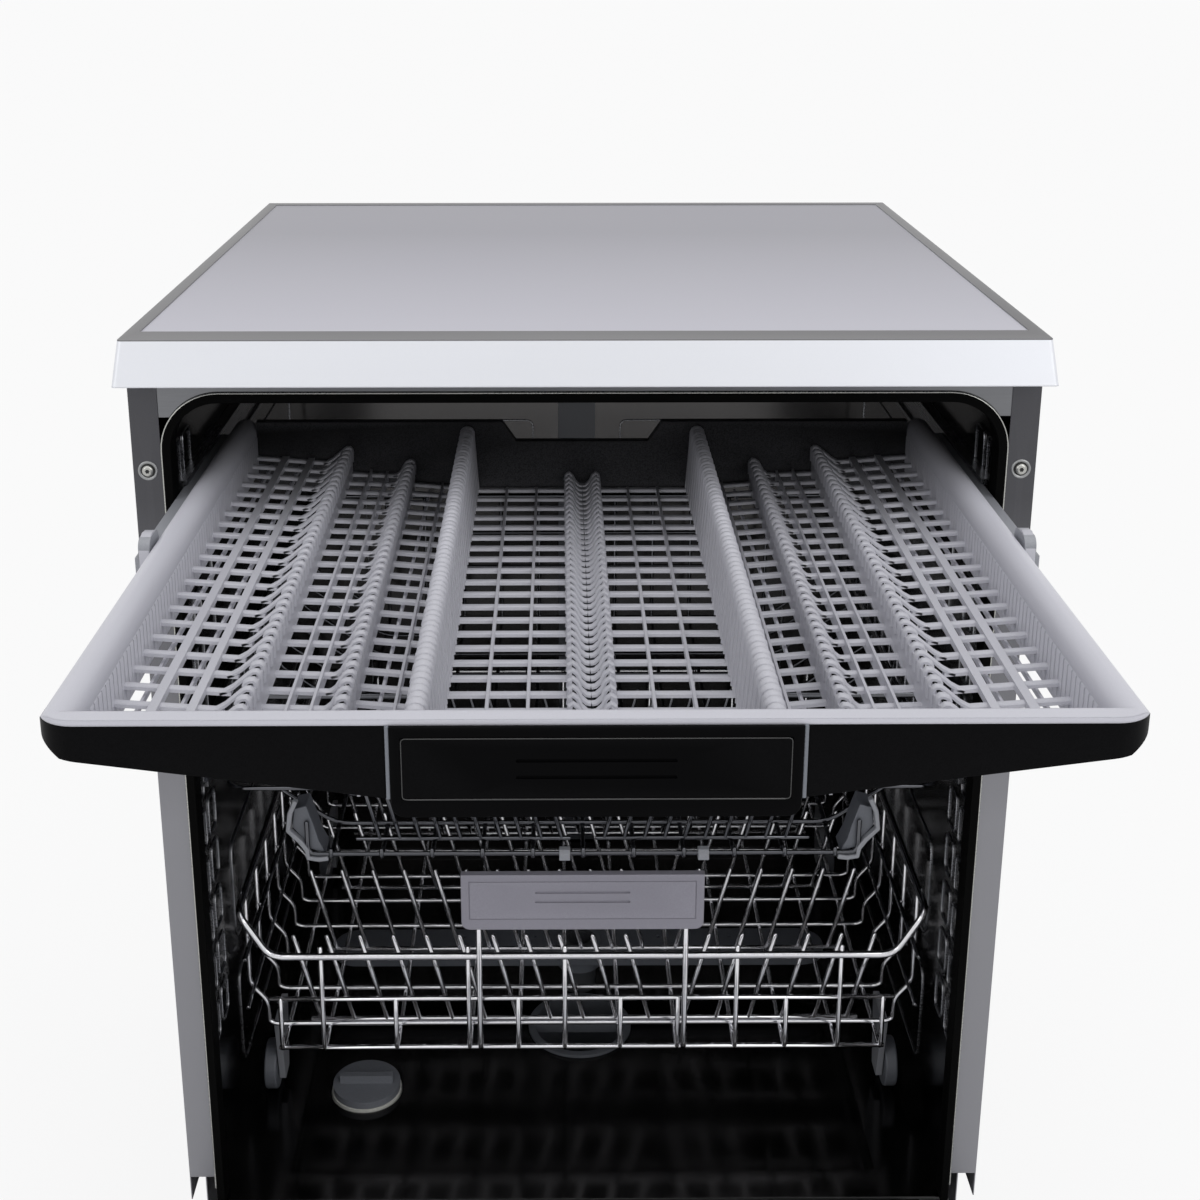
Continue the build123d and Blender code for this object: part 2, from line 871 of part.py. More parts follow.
def tray_side_wall():
    """The right side wall: a thick bull-nose, hollow from below."""
    radius = tray_wall / 2
    mid = tray_half - radius
    outer = block(
        tray_half - tray_wall, tray_half, tray_front, tray_rear, tray_foot, tray_top - radius
    )
    crest = rod((mid, tray_front, tray_top - radius), (mid, tray_rear, tray_top - radius), radius)
    hollow = block(
        tray_half - tray_wall + tray_shell,
        tray_half - tray_shell,
        tray_front + tray_rim,
        tray_rear - tray_rear_wall,
        tray_foot - 1,
        tray_top - radius,
    )
    return outer + crest - hollow


def tray_outline(inset):
    """The tray's outline in plan with its rounded front corners, drawn in by an inset."""
    half = tray_half - inset
    hull = block(-half, half, tray_front + inset, tray_rear, 0, tray_top + 1)
    corners = hull.edges().filter_by(Axis.Z).group_by(Axis.Y)[0]
    return fillet(corners, tray_corner_r - inset)


def rail_profile():
    """The tray's section from side to side: level on top, with a bull-nose at each side."""
    radius = tray_wall / 2
    edge = tray_half - radius
    level = tray_top - radius
    low = block(-tray_half, tray_half, tray_front, tray_rear, 0, level)
    high = block(-edge, edge, tray_front, tray_rear, 0, tray_top)
    crest = rod((edge, tray_front, level), (edge, tray_rear, level), radius)
    return low + high + crest + mirror_x(crest)


def fascia_wrap(foot):
    """The skin of the tray's front and its rounded corners, from a level up to the rim."""
    skin = tray_outline(0) - tray_outline(fascia_thick)
    zone = block(
        -tray_half,
        tray_half,
        tray_front,
        tray_front + tray_corner_r,
        foot,
        tray_top - fascia_thick,
    )
    return skin & zone


def tray_frame():
    """The tray's rim: two side walls, the front rim and the notched rear wall."""
    side = tray_side_wall()
    inner = tray_half - tray_wall
    front = block(
        -tray_half, tray_half, tray_front, tray_front + tray_rim, tray_top - fascia_thick, tray_top
    )
    apron = block(
        -tray_half,
        tray_half,
        tray_front + fascia_thick,
        tray_front + tray_rim,
        tray_foot,
        tray_top - fascia_thick,
    )
    rear = block(
        -inner, inner, tray_rear - tray_rear_wall, tray_rear, tray_floor_mid, tray_top
    )
    notch = plate_y(
        [
            (-notch_half, tray_top - notch_depth),
            (notch_half, tray_top - notch_depth),
            (notch_half + 11, tray_top + 1),
            (-notch_half - 11, tray_top + 1),
        ],
        tray_rear - tray_rear_wall - 1,
        tray_rear + 1,
    )
    frame = side + mirror_x(side) + front + apron + (rear - notch) - fascia_wrap(tray_foot - 1)
    low = tray_foot - fascia_thick
    under = plate_y(
        [*wing_line, (tray_half, low), (wing_start, low)],
        tray_front,
        tray_front + tray_rim,
    )
    swept = plate_x(
        [
            (tray_front, wing_line[-1][1]),
            (tray_front + tray_corner_r, wing_line[-1][1]),
            (tray_front + wing_sweep, tray_foot),
            (tray_front + wing_sweep, low),
            (tray_front, low),
        ],
        inner,
        tray_half,
    )
    frame -= under + mirror_x(under)
    frame -= swept + mirror_x(swept)
    return frame & tray_outline(0) & rail_profile()


def tray_fascia():
    """The black front: two wings that deepen towards the grip and wrap the front corners."""
    top = tray_top - fascia_thick
    wing = plate_y(
        [*wing_line, (tray_half, top), (wing_start, top)], tray_front, tray_front + tray_corner_r
    )
    backing = block(
        -wing_start,
        wing_start,
        tray_front + grip_seat + seat_gap,
        tray_front + fascia_thick,
        tray_top - wing_mid_depth + 2,
        top,
    )
    skin = fascia_wrap(tray_foot - wing_corner) & rail_profile()
    return ((wing + mirror_x(wing)) & skin) + backing


def tray_grip():
    """The handle panel in the middle of the tray's front, with a thin rib at each side."""
    top = tray_top - fascia_thick
    back = tray_front + grip_seat
    panel = block(
        -grip_half, grip_half, tray_front - grip_proud, back, tray_top - grip_depth, top
    )
    low = panel.edges().filter_by(Axis.Y).group_by(Axis.Z)[0]
    panel = fillet(low, grip_corner_r)
    lip = block(
        -grip_half + 8,
        grip_half - 8,
        back,
        tray_front + 14,
        tray_top - grip_depth + 1,
        tray_top - grip_depth + 4,
    )
    rib = block(
        grip_half, grip_half + rib_width, tray_front - 1, back, tray_top - wing_mid_depth, top
    )
    return panel + lip + rib + mirror_x(rib)


def comb(x, foot, top):
    """A comb of fingers along the tray: a thin plate with a toothed top edge."""
    start = tray_front + tray_rim + 8
    count = int((tray_rear - tray_rear_wall - 8 - start) / tooth_pitch)
    points = [(start, foot)]
    for i in range(count):
        y = start + i * tooth_pitch
        points += [(y, top - comb_height + 3), (y + 2, top), (y + 5, top), (y + 7, top - comb_height + 3)]
    points += [(start + count * tooth_pitch, foot)]
    return plate_x(points, x - comb_thick / 2, x + comb_thick / 2)


def floor_height(x):
    """The top of the tray's floor at a place across it: flat in the middle, rising to the walls."""
    rise = tray_floor_edge - tray_floor_mid
    run = tray_half - tray_wall - divider_x
    return tray_floor_mid + max(0.0, abs(x) - divider_x) * rise / run


def tray_floor_side():
    """The right sloping insert: a mat of bars with three combs."""
    inner = tray_half - tray_wall - seat_gap
    start = divider_x + comb_thick / 2 + seat_gap
    rise = tray_floor_edge - tray_floor_mid
    run = tray_half - tray_wall - divider_x
    slope = math.hypot(1, rise / run)
    last = inner - bar / 2 - bar * rise / run
    bars = [divider_x + run * place for place in side_bar_places]
    along = [(x - start) * slope for x in [start + bar / 2] + bars + [last]]
    y0 = tray_front + tray_rim + seat_gap + bar / 2
    y1 = tray_rear - tray_rear_wall - seat_gap - bar / 2
    across = [y - y0 for y in spread(y0, y1, bar_pitch)]
    normal = Vector(-rise / run, 0, 1).normalized()
    origin = Vector(start, y0, floor_height(start)) - normal * bar
    bed = mat_on(origin, (run, 0, rise), normal, along, across, bar)
    combs = []
    for place in side_comb_places:
        x = divider_x + run * place
        combs.append(comb(x, floor_height(x) + 0.4, floor_height(x) + 4 + comb_height))
    return [bed] + combs


def tray_floor_centre():
    """The middle insert: a flat mat, two tall dividers and two low combs."""
    y0 = tray_front + tray_rim + seat_gap + bar / 2
    y1 = tray_rear - tray_rear_wall - seat_gap - bar / 2
    half = divider_x - comb_thick / 2 - seat_gap - bar / 2
    first, last = centre_comb_x, half - bar_pitch
    along = [-half, -last, -(first + last) / 2, -first, first, (first + last) / 2, last, half]
    bed = mat_on(
        (0, 0, tray_floor_mid - bar), (1, 0, 0), (0, 0, 1), along, spread(y0, y1, bar_pitch), bar
    )
    walls = [comb(x, tray_floor_mid - bar, divider_top) for x in (-divider_x, divider_x)]
    top = tray_floor_mid + comb_height
    spine = [comb(x, tray_floor_mid, top) for x in (-centre_comb_x, centre_comb_x)]
    return [bed] + walls + spine


def tray_slide():
    """The right moving slide under the tray's rim, with the end hook that shows beside the rim."""
    runner = block(slide_inner, slide_outer, slide_front, slide_rear, slide_foot, slide_top)
    groove = block(
        slide_inner - 1, slide_outer - 3, slide_front + 6, slide_rear - 6, slide_foot + 4, slide_top - 4
    )
    block_end = block(
        slide_inner, slide_outer, slide_front - hook_half, slide_front + hook_half, slide_foot, slide_top
    )
    hook = block(
        slide_inner,
        rail_lip - seat_gap,
        slide_front - hook_half,
        slide_front + hook_half,
        slide_foot,
        tray_top + 1,
    )
    hook = block_end + fillet(hook.edges().filter_by(Axis.X).group_by(Axis.Z)[-1], hook_half / 2)
    pad = block(tray_half, slide_inner, slide_front + 20, slide_rear - 10, slide_foot, slide_foot + 3)
    return runner - groove + hook + pad


# Upper basket


def upper_basket_wires():
    """The upper basket: a flat floor, sloping and upright sides, front and rear, and two tine rows."""
    wire = upper_wire
    y0, y1 = upper_front + wire / 2, upper_rear - wire / 2
    rows = spread(y0, y1, 45)
    columns = spread(-upper_floor_half, upper_floor_half, 37)
    floor = mat_on((0, 0, upper_floor - wire), (1, 0, 0), (0, 0, 1), columns, rows, wire)
    gap = wire / 2 + seat_gap
    rise = upper_shoulder - upper_floor
    run = upper_half - wire - upper_floor_half - gap
    length = math.hypot(run, rise)
    slant = mat_on(
        (upper_floor_half + gap, 0, upper_floor),
        (run, 0, rise),
        (-rise, 0, run),
        [wire / 2, length / 2, length - wire / 2],
        rows,
        wire,
    )
    upright = mat_on(
        (upper_half - wire, 0, 0),
        (0, 1, 0),
        (1, 0, 0),
        rows,
        [upper_shoulder + wire, (upper_shoulder + upper_rim) / 2, upper_rim],
        wire,
    )
    end_columns = spread(-upper_half + wire + gap, upper_half - wire - gap, 37)
    end_levels = [upper_shoulder + wire, (upper_shoulder + upper_rim) / 2, upper_rim]
    low_columns = spread(-upper_floor_half, upper_floor_half, 37)
    low_levels = [upper_floor + wire / 2 + seat_gap, upper_shoulder - seat_gap]
    ends = []
    for y in (upper_front, upper_rear - wire):
        ends.append(
            mat_on((0, y + wire, 0), (1, 0, 0), (0, -1, 0), end_columns, end_levels, wire)
        )
        ends.append(
            mat_on((0, y + wire, 0), (1, 0, 0), (0, -1, 0), low_columns, low_levels, wire)
        )
    return [floor] + both_sides([slant, upright]) + ends + upper_tines()


def upper_tines():
    """Two rows of tines across the upper basket, each a comb that leans to its side."""
    made = []
    for y in (upper_front + 18, upper_front + 150):
        for side in (-1, 1):
            base = upper_floor + seat_gap
            count = int((upper_floor_half - 30) / upper_tine_pitch)
            points = [(side * 12, base)]
            lean = side * upper_tine * math.tan(math.radians(tine_lean))
            for i in range(count):
                x = side * (14 + i * upper_tine_pitch)
                points += [
                    (x, base + upper_wire),
                    (x + lean, base + upper_tine),
                    (x + lean + side * upper_wire, base + upper_tine),
                    (x + side * upper_wire, base + upper_wire),
                ]
            points += [(side * (14 + count * upper_tine_pitch), base + upper_wire)]
            points += [(side * (14 + count * upper_tine_pitch), base)]
            made.append(plate_y(points, y, y + upper_wire))
    return made


def basket_runner():
    """The right runner of the upper basket, which slides in the fixed rail."""
    body = block(
        upper_half + seat_gap, slide_outer - 0.3, upper_front, upper_rear, runner_foot, runner_top
    )
    groove = block(
        upper_half, slide_outer - 3, upper_front + 8, upper_rear - 8, runner_foot + 5, runner_top - 5
    )
    return body - groove


def cup_rack():
    """The folding cup rack on the basket's right side, upright at rest, with its pivot rod."""
    rack_first = rack_pivot_r + rack_wire / 2 + seat_gap
    flat = mat_on(
        (rack_x + rack_pivot_r - rack_wire, 0, rack_z),
        (0, 1, 0),
        (1, 0, 0),
        spread(rack_front + 10, rack_rear - 10, 33),
        [rack_first, (2 * rack_first + rack_width) / 3, (rack_first + 2 * rack_width) / 3, rack_width],
        rack_wire,
    )
    pivot = rod((rack_x, rack_front, rack_z), (rack_x, rack_rear, rack_z), rack_pivot_r)
    return [flat, pivot]


# Lower basket


def tine_line(y, base):
    """One row of leaning tines on a cross wire: eleven to the left, six to the right."""
    lean = math.radians(tine_lean)
    dx, dz = tine_length * math.tan(lean), tine_length
    left = [tine_first_left + i * tine_pitch for i in range(tine_count_left)]
    right = [tine_first_right + i * tine_pitch for i in range(tine_count_right)]
    top = base + tine_r
    made = [rod((left[0] - 8, y, base), (right[-1] + 8, y, base), tine_r)]
    for x in left:
        made.append(rod((x, y, top), (x - dx, y, top + dz), tine_r))
    for x in right:
        made.append(rod((x, y, top), (x + dx, y, top + dz), tine_r))
    return made


def lower_basket_wires():
    """The lower basket: floor, stepped sides, front and rear mats, thick rim and fixed tine rows."""
    wire = lower_wire
    y0, y1 = lower_front + wire, lower_rear - wire
    rows = [y0] + [y for y in lower_rows if y < y1 - 4 * wire] + [y1]
    columns = spread(-lower_floor_half + wire / 2, lower_floor_half - wire / 2, 45)
    floor = mat_on((0, 0, lower_floor - wire), (1, 0, 0), (0, 0, 1), columns, rows, wire)
    gap = wire / 2 + seat_gap
    rise = lower_shoulder - lower_floor
    run = lower_half - wire / 2 - lower_floor_half - seat_gap
    length = math.hypot(run, rise)
    slant = mat_on(
        (lower_floor_half + seat_gap, 0, lower_floor),
        (run, 0, rise),
        (-rise, 0, run),
        [wire / 2, length - wire],
        rows,
        wire,
    )
    upright = mat_on(
        (lower_half - wire / 2, 0, 0),
        (0, 1, 0),
        (1, 0, 0),
        rows,
        [lower_shoulder + wire, lower_rim - rim_r - wire / 2 - seat_gap],
        wire,
    )
    front = mat_on(
        (0, lower_front + wire / 2, 0),
        (1, 0, 0),
        (0, -1, 0),
        spread(-lower_front_half + wire, lower_front_half - wire, 45),
        [lower_floor + gap, lower_front_rim - rim_r - gap],
        wire,
    )
    rear = mat_on(
        (0, lower_rear + wire / 2, 0),
        (1, 0, 0),
        (0, -1, 0),
        spread(-lower_half + 2 * wire, lower_half - 2 * wire, 45),
        [lower_floor + gap, (lower_floor + lower_rim) / 2, lower_rim - rim_r - gap],
        wire,
    )
    pieces = [floor, front, rear] + both_sides([slant, upright]) + lower_rim_rods() + handle_wires()
    for y in fixed_rows:
        pieces += tine_line(y, lower_floor + seat_gap + tine_r)
    return pieces


def lower_rim_rods():
    """The thick rim wire: lowered across the front, rising to the sides and round the back."""
    low, high = lower_front_rim, lower_rim
    step = 1.9
    rise = Vector(lower_half - lower_front_half, 0, high - low).normalized()
    start = Vector(lower_front_half, lower_front, low) + rise * step
    end = Vector(lower_half, lower_front, high) - rise * (step + 1.5)
    reach = lower_front_half - step
    front = rod((-reach, lower_front, low), (reach, lower_front, low), rim_r)
    diagonal = rod(tuple(start), tuple(end), rim_r)
    side = rod(
        (lower_half, lower_front - rim_r, high), (lower_half, lower_rear - rim_r - seat_gap, high), rim_r
    )
    back = rod((-lower_half, lower_rear, high), (lower_half, lower_rear, high), rim_r)
    return [front, back] + both_sides([diagonal, side])


def handle_wires():
    """The two upright wires that carry the handle in front of the rim."""
    y = lower_front - rim_r - 2.2 - 0.2
    wire = rod((handle_wire_x, y, lower_floor), (handle_wire_x, y, handle_top - 12), 2.2)
    return both_sides([wire])


def lower_basket_handle():
    """The grey handle plate on the lower basket's front."""
    plate = block(
        -handle_half, handle_half, handle_front, handle_front + handle_thick, handle_foot, handle_top
    )
    low = plate.edges().filter_by(Axis.Y).group_by(Axis.Z)[0]
    return fillet(low, grip_corner_r)


def wheel_carrier(y):
    """A right-hand wheel carrier: a plate under the basket's floor with the wheel's pin."""
    z = ledge_z + seat_gap + wheel_r
    x0 = wheel_x - wheel_width / 2 - 6
    x1 = wheel_x - wheel_width / 2 - 1
    top = lower_floor - lower_wire
    plate = plate_x([(y - 20, top), (y + 20, top), (y + 9, z - 8), (y - 9, z - 8)], x0, x1)
    pin = rod((x1, y, z), (wheel_x + wheel_width / 2 + 0.4, y, z), wheel_pin_r)
    washer = rod((x1, y, z), (x1 + 0.7, y, z), 7)
    head = rod(
        (wheel_x + wheel_width / 2 + 0.4, y, z), (wheel_x + wheel_width / 2 + 2, y, z), 6
    )
    return plate + pin + washer + head


def wheel(side, y):
    """A basket wheel with a groove round its tread."""
    z = ledge_z + seat_gap + wheel_r
    x0, x1 = side * wheel_x - wheel_width / 2, side * wheel_x + wheel_width / 2
    disc = rod((x0, y, z), (x1, y, z), wheel_r)
    disc = fillet(disc.edges().filter_by(GeomType.CIRCLE), 1.5)
    return disc - rod((x0 - 1, y, z), (x1 + 1, y, z), wheel_pin_r + running_gap)


# Water parts


def spray_arm(half, z, hub_r, bore_r, hub_low, hub_high):
    """A flat hollow-looking arm with rounded ends, a hub and rows of spray holes."""
    blade = block(
        -half + arm_width / 2,
        half - arm_width / 2,
        arm_centre_y - arm_width / 2,
        arm_centre_y + arm_width / 2,
        z,
        z + arm_height,
    )
    for side in (-1, 1):
        x = side * (half - arm_width / 2)
        blade += rod((x, arm_centre_y, z), (x, arm_centre_y, z + arm_height), arm_width / 2)
    blade = fillet(blade.edges().group_by(Axis.Z)[-1], 3)
    hub = rod((0, arm_centre_y, hub_low), (0, arm_centre_y, hub_high), hub_r)
    bore = rod((0, arm_centre_y, hub_low - 1), (0, arm_centre_y, hub_high + 1), bore_r)
    arm = blade + hub - bore
    for i in range(5):
        for side in (-1, 1):
            x = side * (hub_r + 20 + i * (half - hub_r - 40) / 5)
            y = arm_centre_y + side * (8 if i % 2 else -8)
            arm -= rod((x, y, z + arm_height - 3), (x, y, z + arm_height + 1), 1.6)
    return arm


def feed_duct():
    """The water duct up the tub's rear wall and along its ceiling, with the two arm outlets."""
    back = tub_back - fit_gap
    riser = block(-duct_half, duct_half, back - duct_depth, back, basin_z + 16, tub_top - seat_gap)
    ceiling = block(
        -duct_half + 4, duct_half - 4, arm_centre_y, back, tub_top - 12, tub_top - seat_gap
    )
    boss = rod(
        (0, arm_centre_y, upper_arm_z + arm_height + 8),
        (0, arm_centre_y, tub_top - seat_gap),
        duct_half,
    )
    pin = rod((0, arm_centre_y, upper_arm_z - 8), (0, arm_centre_y, tub_top - 12), hub_pin_r)
    cap = rod((0, arm_centre_y, upper_arm_z - 11), (0, arm_centre_y, upper_arm_z - 8), 13)
    docking_z = upper_floor - upper_wire - 4
    docking = tube(
        (0, upper_rear + 20, docking_z), (0, back - duct_depth + 1, docking_z), 9, 6
    )
    return riser + ceiling + boss + pin + cap + docking


def middle_arm_duct():
    """The duct under the upper basket that feeds the middle arm and carries its pin."""
    top = upper_floor - upper_wire - seat_gap
    duct = block(-12, 12, arm_centre_y - 14, upper_rear + 19.5, top - 7.7, top)
    pin = rod(
        (0, arm_centre_y, middle_arm_z - 1.5), (0, arm_centre_y, top - 7), hub_pin_r
    )
    cap = rod(
        (0, arm_centre_y, middle_arm_z - 3.3), (0, arm_centre_y, middle_arm_z - 1.5), 13
    )
    return duct + pin + cap


def sump():
    """The sump under the tub: a moulded box with the filter well and the lower arm's pipe."""
    top = basin_z - floor_sheet
    body = block(-sump_half, sump_half, sump_front, sump_rear, sump_foot, top)
    body = fillet(body.edges().filter_by(Axis.Z), 20)
    body -= rod((0, filter_y, filter_foot), (0, filter_y, top + 1), filter_bore_r)
    body += rod((0, arm_centre_y, top), (0, arm_centre_y, lower_arm_z + arm_height + 4), lower_pipe_r)
    body -= rod((0, arm_centre_y, 100), (0, arm_centre_y, lower_arm_z + arm_height + 5), 11)
    body -= block(-8, 8, filter_y + 20, arm_centre_y, 100, 120)
    return body


def filter_insert():
    """The cup-shaped filter that twists into the sump, with a grip across its top."""
    top = basin_z + 3
    cup = tube((0, filter_y, filter_foot + 0.5), (0, filter_y, top), filter_r, filter_r - 2)
    bottom = rod((0, filter_y, filter_foot + 0.5), (0, filter_y, filter_foot + 3), filter_r)
    flange = tube(
        (0, filter_y, basin_z + seat_gap), (0, filter_y, top), filter_r + 4, filter_r - 2
    )
    grip = block(-filter_r, filter_r, filter_y - 2, filter_y + 2, top - 8, top + 6)
    return cup + bottom + flange + (grip & rod((0, filter_y, 0), (0, filter_y, 300), filter_r))


def circulation_pump():
    """The circulation pump: a motor and a pump head beside the sump, on a foot."""
    y, z = pump_y, pump_z
    x0, x1 = sump_half, sump_half + pump_head
    head = rod((x0, y, z), (x1, y, z), pump_head_r)
    motor = rod((x1, y, z), (x0 + pump_length, y, z), pump_motor_r)
    middle = (x0 + x1) / 2
    spigot = rod((middle, y, z + 30), (middle, y, z + 52), 11)
    foot = block(x1 + 8, x0 + pump_length - 12, y - 30, y + 30, base_foot + base_wall, z - 30)
    return head + motor + spigot + foot


def drain_pump():
    """The drain pump and its outlet spigot at the rear."""
    z = 60
    y1 = base_back - drain_spigot_length
    body = rod((drain_x, sump_rear, z + 30), (drain_x, sump_rear + 60, z + 30), 32)
    motor = rod((drain_x, sump_rear + 60, z + 30), (drain_x, sump_rear + 100, z + 30), 24)
    pipe = rod((drain_x, sump_rear + 100, z + 30), (drain_x, y1, z + 30), 12)
    outlet = rod((drain_x, y1, z + 30), (drain_x, cabinet_depth, z + 30), drain_spigot_r)
    outlet -= rod((drain_x, y1 - 10, z + 30), (drain_x, cabinet_depth + 1, z + 30), 7)
    foot = block(drain_x - 20, drain_x + 20, sump_rear + 10, sump_rear + 50, base_foot + base_wall, z + 6)
    link = block(drain_x, -sump_half + 10, sump_rear - 12, sump_rear + 20, z + 20, z + 40)
    link -= block(-sump_half - 1, 0, 0, sump_rear + 1, 0, 300)
    return body + motor + pipe + outlet + foot + link


def softener():
    """The water softener: a salt tank with a filler neck through the tub's floor."""
    tank = rod(
        (softener_x, softener_y, base_foot + base_wall), (softener_x, softener_y, 140), softener_r
    )
    tank = fillet(tank.edges().group_by(Axis.Z)[-1], 10)
    neck = rod((softener_x, softener_y, 138), (softener_x, softener_y, basin_z + 2), neck_r)
    mouth = rod((softener_x, softener_y, 60), (softener_x, softener_y, basin_z + 4), salt_bore_r)
    return tank + neck - mouth


def salt_cap():
    """The screw cap of the salt filler, with a finger bar."""
    z = basin_z + 2 + seat_gap
    disc = rod((softener_x, softener_y, z), (softener_x, softener_y, z + 6), neck_r - 1)
    stem = rod((softener_x, softener_y, z - 16), (softener_x, softener_y, z), salt_bore_r - seat_gap)
    grip = block(softener_x - 22, softener_x + 22, softener_y - 3, softener_y + 3, z + 6, z + 13)
    return disc + stem + grip


def inlet_valve():
    """The water inlet valve, the cord gland and the terminal box on one rear bracket."""
    z = inlet_z
    y1 = cabinet_depth - inlet_thread_length
    plate = block(gland_x - 30, inlet_x + 40, base_back - 30, base_back - 27, base_foot + base_wall, 118)
    body = block(inlet_x - 18, inlet_x + 18, base_back - 90, base_back - 30, z - 20, z + 20)
    coil = rod((inlet_x, base_back - 62, z + 20), (inlet_x, base_back - 62, z + 48), 15)
    collar = rod((inlet_x, base_back - 30, z), (inlet_x, y1, z), inlet_thread_r + 4)
    thread = rod((inlet_x, y1, z), (inlet_x, cabinet_depth, z), inlet_thread_r)
    way = rod((inlet_x, y1 - 8, z), (inlet_x, cabinet_depth + 1, z), 9)
    gland_y = base_back - 30 + gland_length
    gland = rod((gland_x, base_back - 30, z + 20), (gland_x, gland_y, z + 20), 10)
    hole = rod((gland_x, gland_y - gland_length, z + 20), (gland_x, gland_y + 1, z + 20), gland_r)
    terminals = block(gland_x - 26, gland_x + 20, base_back - 60, base_back - 30, z - 5, z + 45)
    return plate + body + coil + collar + thread - way + gland - hole + terminals


def main():
    os.makedirs("parts", exist_ok=True)
    side = side_panel()
    save("side_panel_right", side)
    save("side_panel_left", mirror_x(side))
    save("flange_screws", flange_screws())
    save("rear_panel", rear_panel())
    save("base_tray", base_tray())
    save("feet", feet())
    save("plinth", plinth())
    save("worktop_frame", worktop_frame())
    save("worktop_panel", worktop_panel())
    save("front_crossbar", front_crossbar())

    save("tub_wrapper", tub_wrapper())
    save("tub_rear_wall", tub_rear_wall())
    save("tub_floor", tub_floor())
    save("door_gasket", door_gasket())
    save("tray_rails", both_sides([tray_rail()]))
    save("basket_rails", both_sides([basket_rail()]))
    save("hinge_brackets", both_sides([hinge_bracket()]))
    save("door_springs", both_sides([door_spring()]))

    save("door_outer_panel", opened(door_outer_panel()))
    save("door_inner_liner", opened(door_inner_liner()))
    save("control_fascia", opened(control_fascia()))
    save("power_button", button(power_x))
    save("programme_button", button(programme_x))
    save("start_button", button(start_x))
    save("hinge_arms", both_sides([hinge_arm()]))
    save("dispenser_body", dispenser_body())
    save("dispenser_lid", dispenser_lid())
    save("rinse_aid_cap", rinse_aid_cap())
    save("door_latch", door_latch())

    save("tray_frame", tray_frame())
    save("tray_fascia", tray_fascia())
    save("tray_grip", tray_grip())
    floor_right = tray_floor_side()
    save("tray_floor_right", floor_right)
    save("tray_floor_left", [mirror_x(piece) for piece in floor_right])
    save("tray_floor_centre", tray_floor_centre())
    save("tray_slides", both_sides([tray_slide()]))

    save("upper_basket_wires", upper_basket_wires())
    save("basket_runners", both_sides([basket_runner()]))
    save("cup_rack", cup_rack())
    save("middle_arm_duct", middle_arm_duct())

    save("lower_basket_wires", lower_basket_wires())
    save("lower_basket_handle", lower_basket_handle())
    base = lower_floor + seat_gap + tine_r
    save("tine_row_front", tine_line(tine_row_front, base))
    save("tine_row_rear", tine_line(tine_row_rear, base))
    save(
        "wheel_carriers",
        both_sides([wheel_carrier(wheel_front), wheel_carrier(wheel_rear)]),
    )
    for name, place in (("left", -1), ("right", 1)):
        save(f"wheel_front_{name}", wheel(place, wheel_front))
        save(f"wheel_rear_{name}", wheel(place, wheel_rear))

    save("feed_duct", feed_duct())
    hub = lower_pipe_r + running_gap
    save(
        "lower_spray_arm",
        spray_arm(lower_arm_half, lower_arm_z, hub + hub_wall, hub, lower_arm_z - 10, lower_arm_z + 13),
    )
    hub = hub_pin_r + running_gap
    save(
        "middle_spray_arm",
        spray_arm(
            middle_arm_half, middle_arm_z, hub + hub_wall, hub, middle_arm_z - 1.2, middle_arm_z + 14
        ),
    )
    save(
        "upper_spray_arm",
        spray_arm(upper_arm_half, upper_arm_z, hub + hub_wall, hub, upper_arm_z - 7, upper_arm_z + 16),
    )
    save("sump", sump())
    save("filter_insert", filter_insert())
    save("circulation_pump", circulation_pump())
    save("drain_pump", drain_pump())
    save("softener", softener())
    save("salt_cap", salt_cap())
    save("inlet_valve", inlet_valve())


if __name__ == "__main__":
    main()
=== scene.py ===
import json
import math

import bmesh
import bpy
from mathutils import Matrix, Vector


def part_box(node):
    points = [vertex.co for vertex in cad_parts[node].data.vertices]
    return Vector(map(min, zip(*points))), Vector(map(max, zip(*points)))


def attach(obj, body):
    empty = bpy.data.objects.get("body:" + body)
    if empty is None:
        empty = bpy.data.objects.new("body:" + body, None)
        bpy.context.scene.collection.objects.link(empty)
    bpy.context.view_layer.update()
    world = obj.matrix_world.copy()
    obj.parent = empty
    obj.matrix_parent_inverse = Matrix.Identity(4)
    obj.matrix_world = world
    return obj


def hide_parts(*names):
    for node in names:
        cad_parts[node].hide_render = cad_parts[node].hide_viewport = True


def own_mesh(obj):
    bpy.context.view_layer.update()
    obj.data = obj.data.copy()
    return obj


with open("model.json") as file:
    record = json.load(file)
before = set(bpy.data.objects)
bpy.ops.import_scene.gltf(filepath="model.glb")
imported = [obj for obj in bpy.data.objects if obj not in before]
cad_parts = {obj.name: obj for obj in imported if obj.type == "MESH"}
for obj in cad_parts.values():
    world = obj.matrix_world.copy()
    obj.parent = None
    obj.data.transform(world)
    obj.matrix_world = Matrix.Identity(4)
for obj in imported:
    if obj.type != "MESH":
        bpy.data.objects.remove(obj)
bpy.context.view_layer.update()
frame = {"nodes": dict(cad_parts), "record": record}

# Sizes are in the cabinet's millimetres unless a line says otherwise: X to the right, Y to the back
# from the front flanges, Z up from the floor. mm() turns a place into the row's metres.
cad_nodes = frame["nodes"]
worktop_rear = 573.0
shift_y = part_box("worktop_frame")[1].y - worktop_rear / 1000


def mm(x, y, z):
    return Vector((x / 1000, y / 1000 + shift_y, z / 1000))


def srgb(red, green, blue):
    """A colour from 0 to 255, as a picture shows it, made linear."""
    def linear(value):
        value /= 255
        return value / 12.92 if value <= 0.04045 else ((value + 0.055) / 1.055) ** 2.4

    return (linear(red), linear(green), linear(blue), 1.0)


def scaled(colour, factor):
    return tuple(min(1.0, c * factor) for c in colour[:3]) + (1.0,)


# Materials


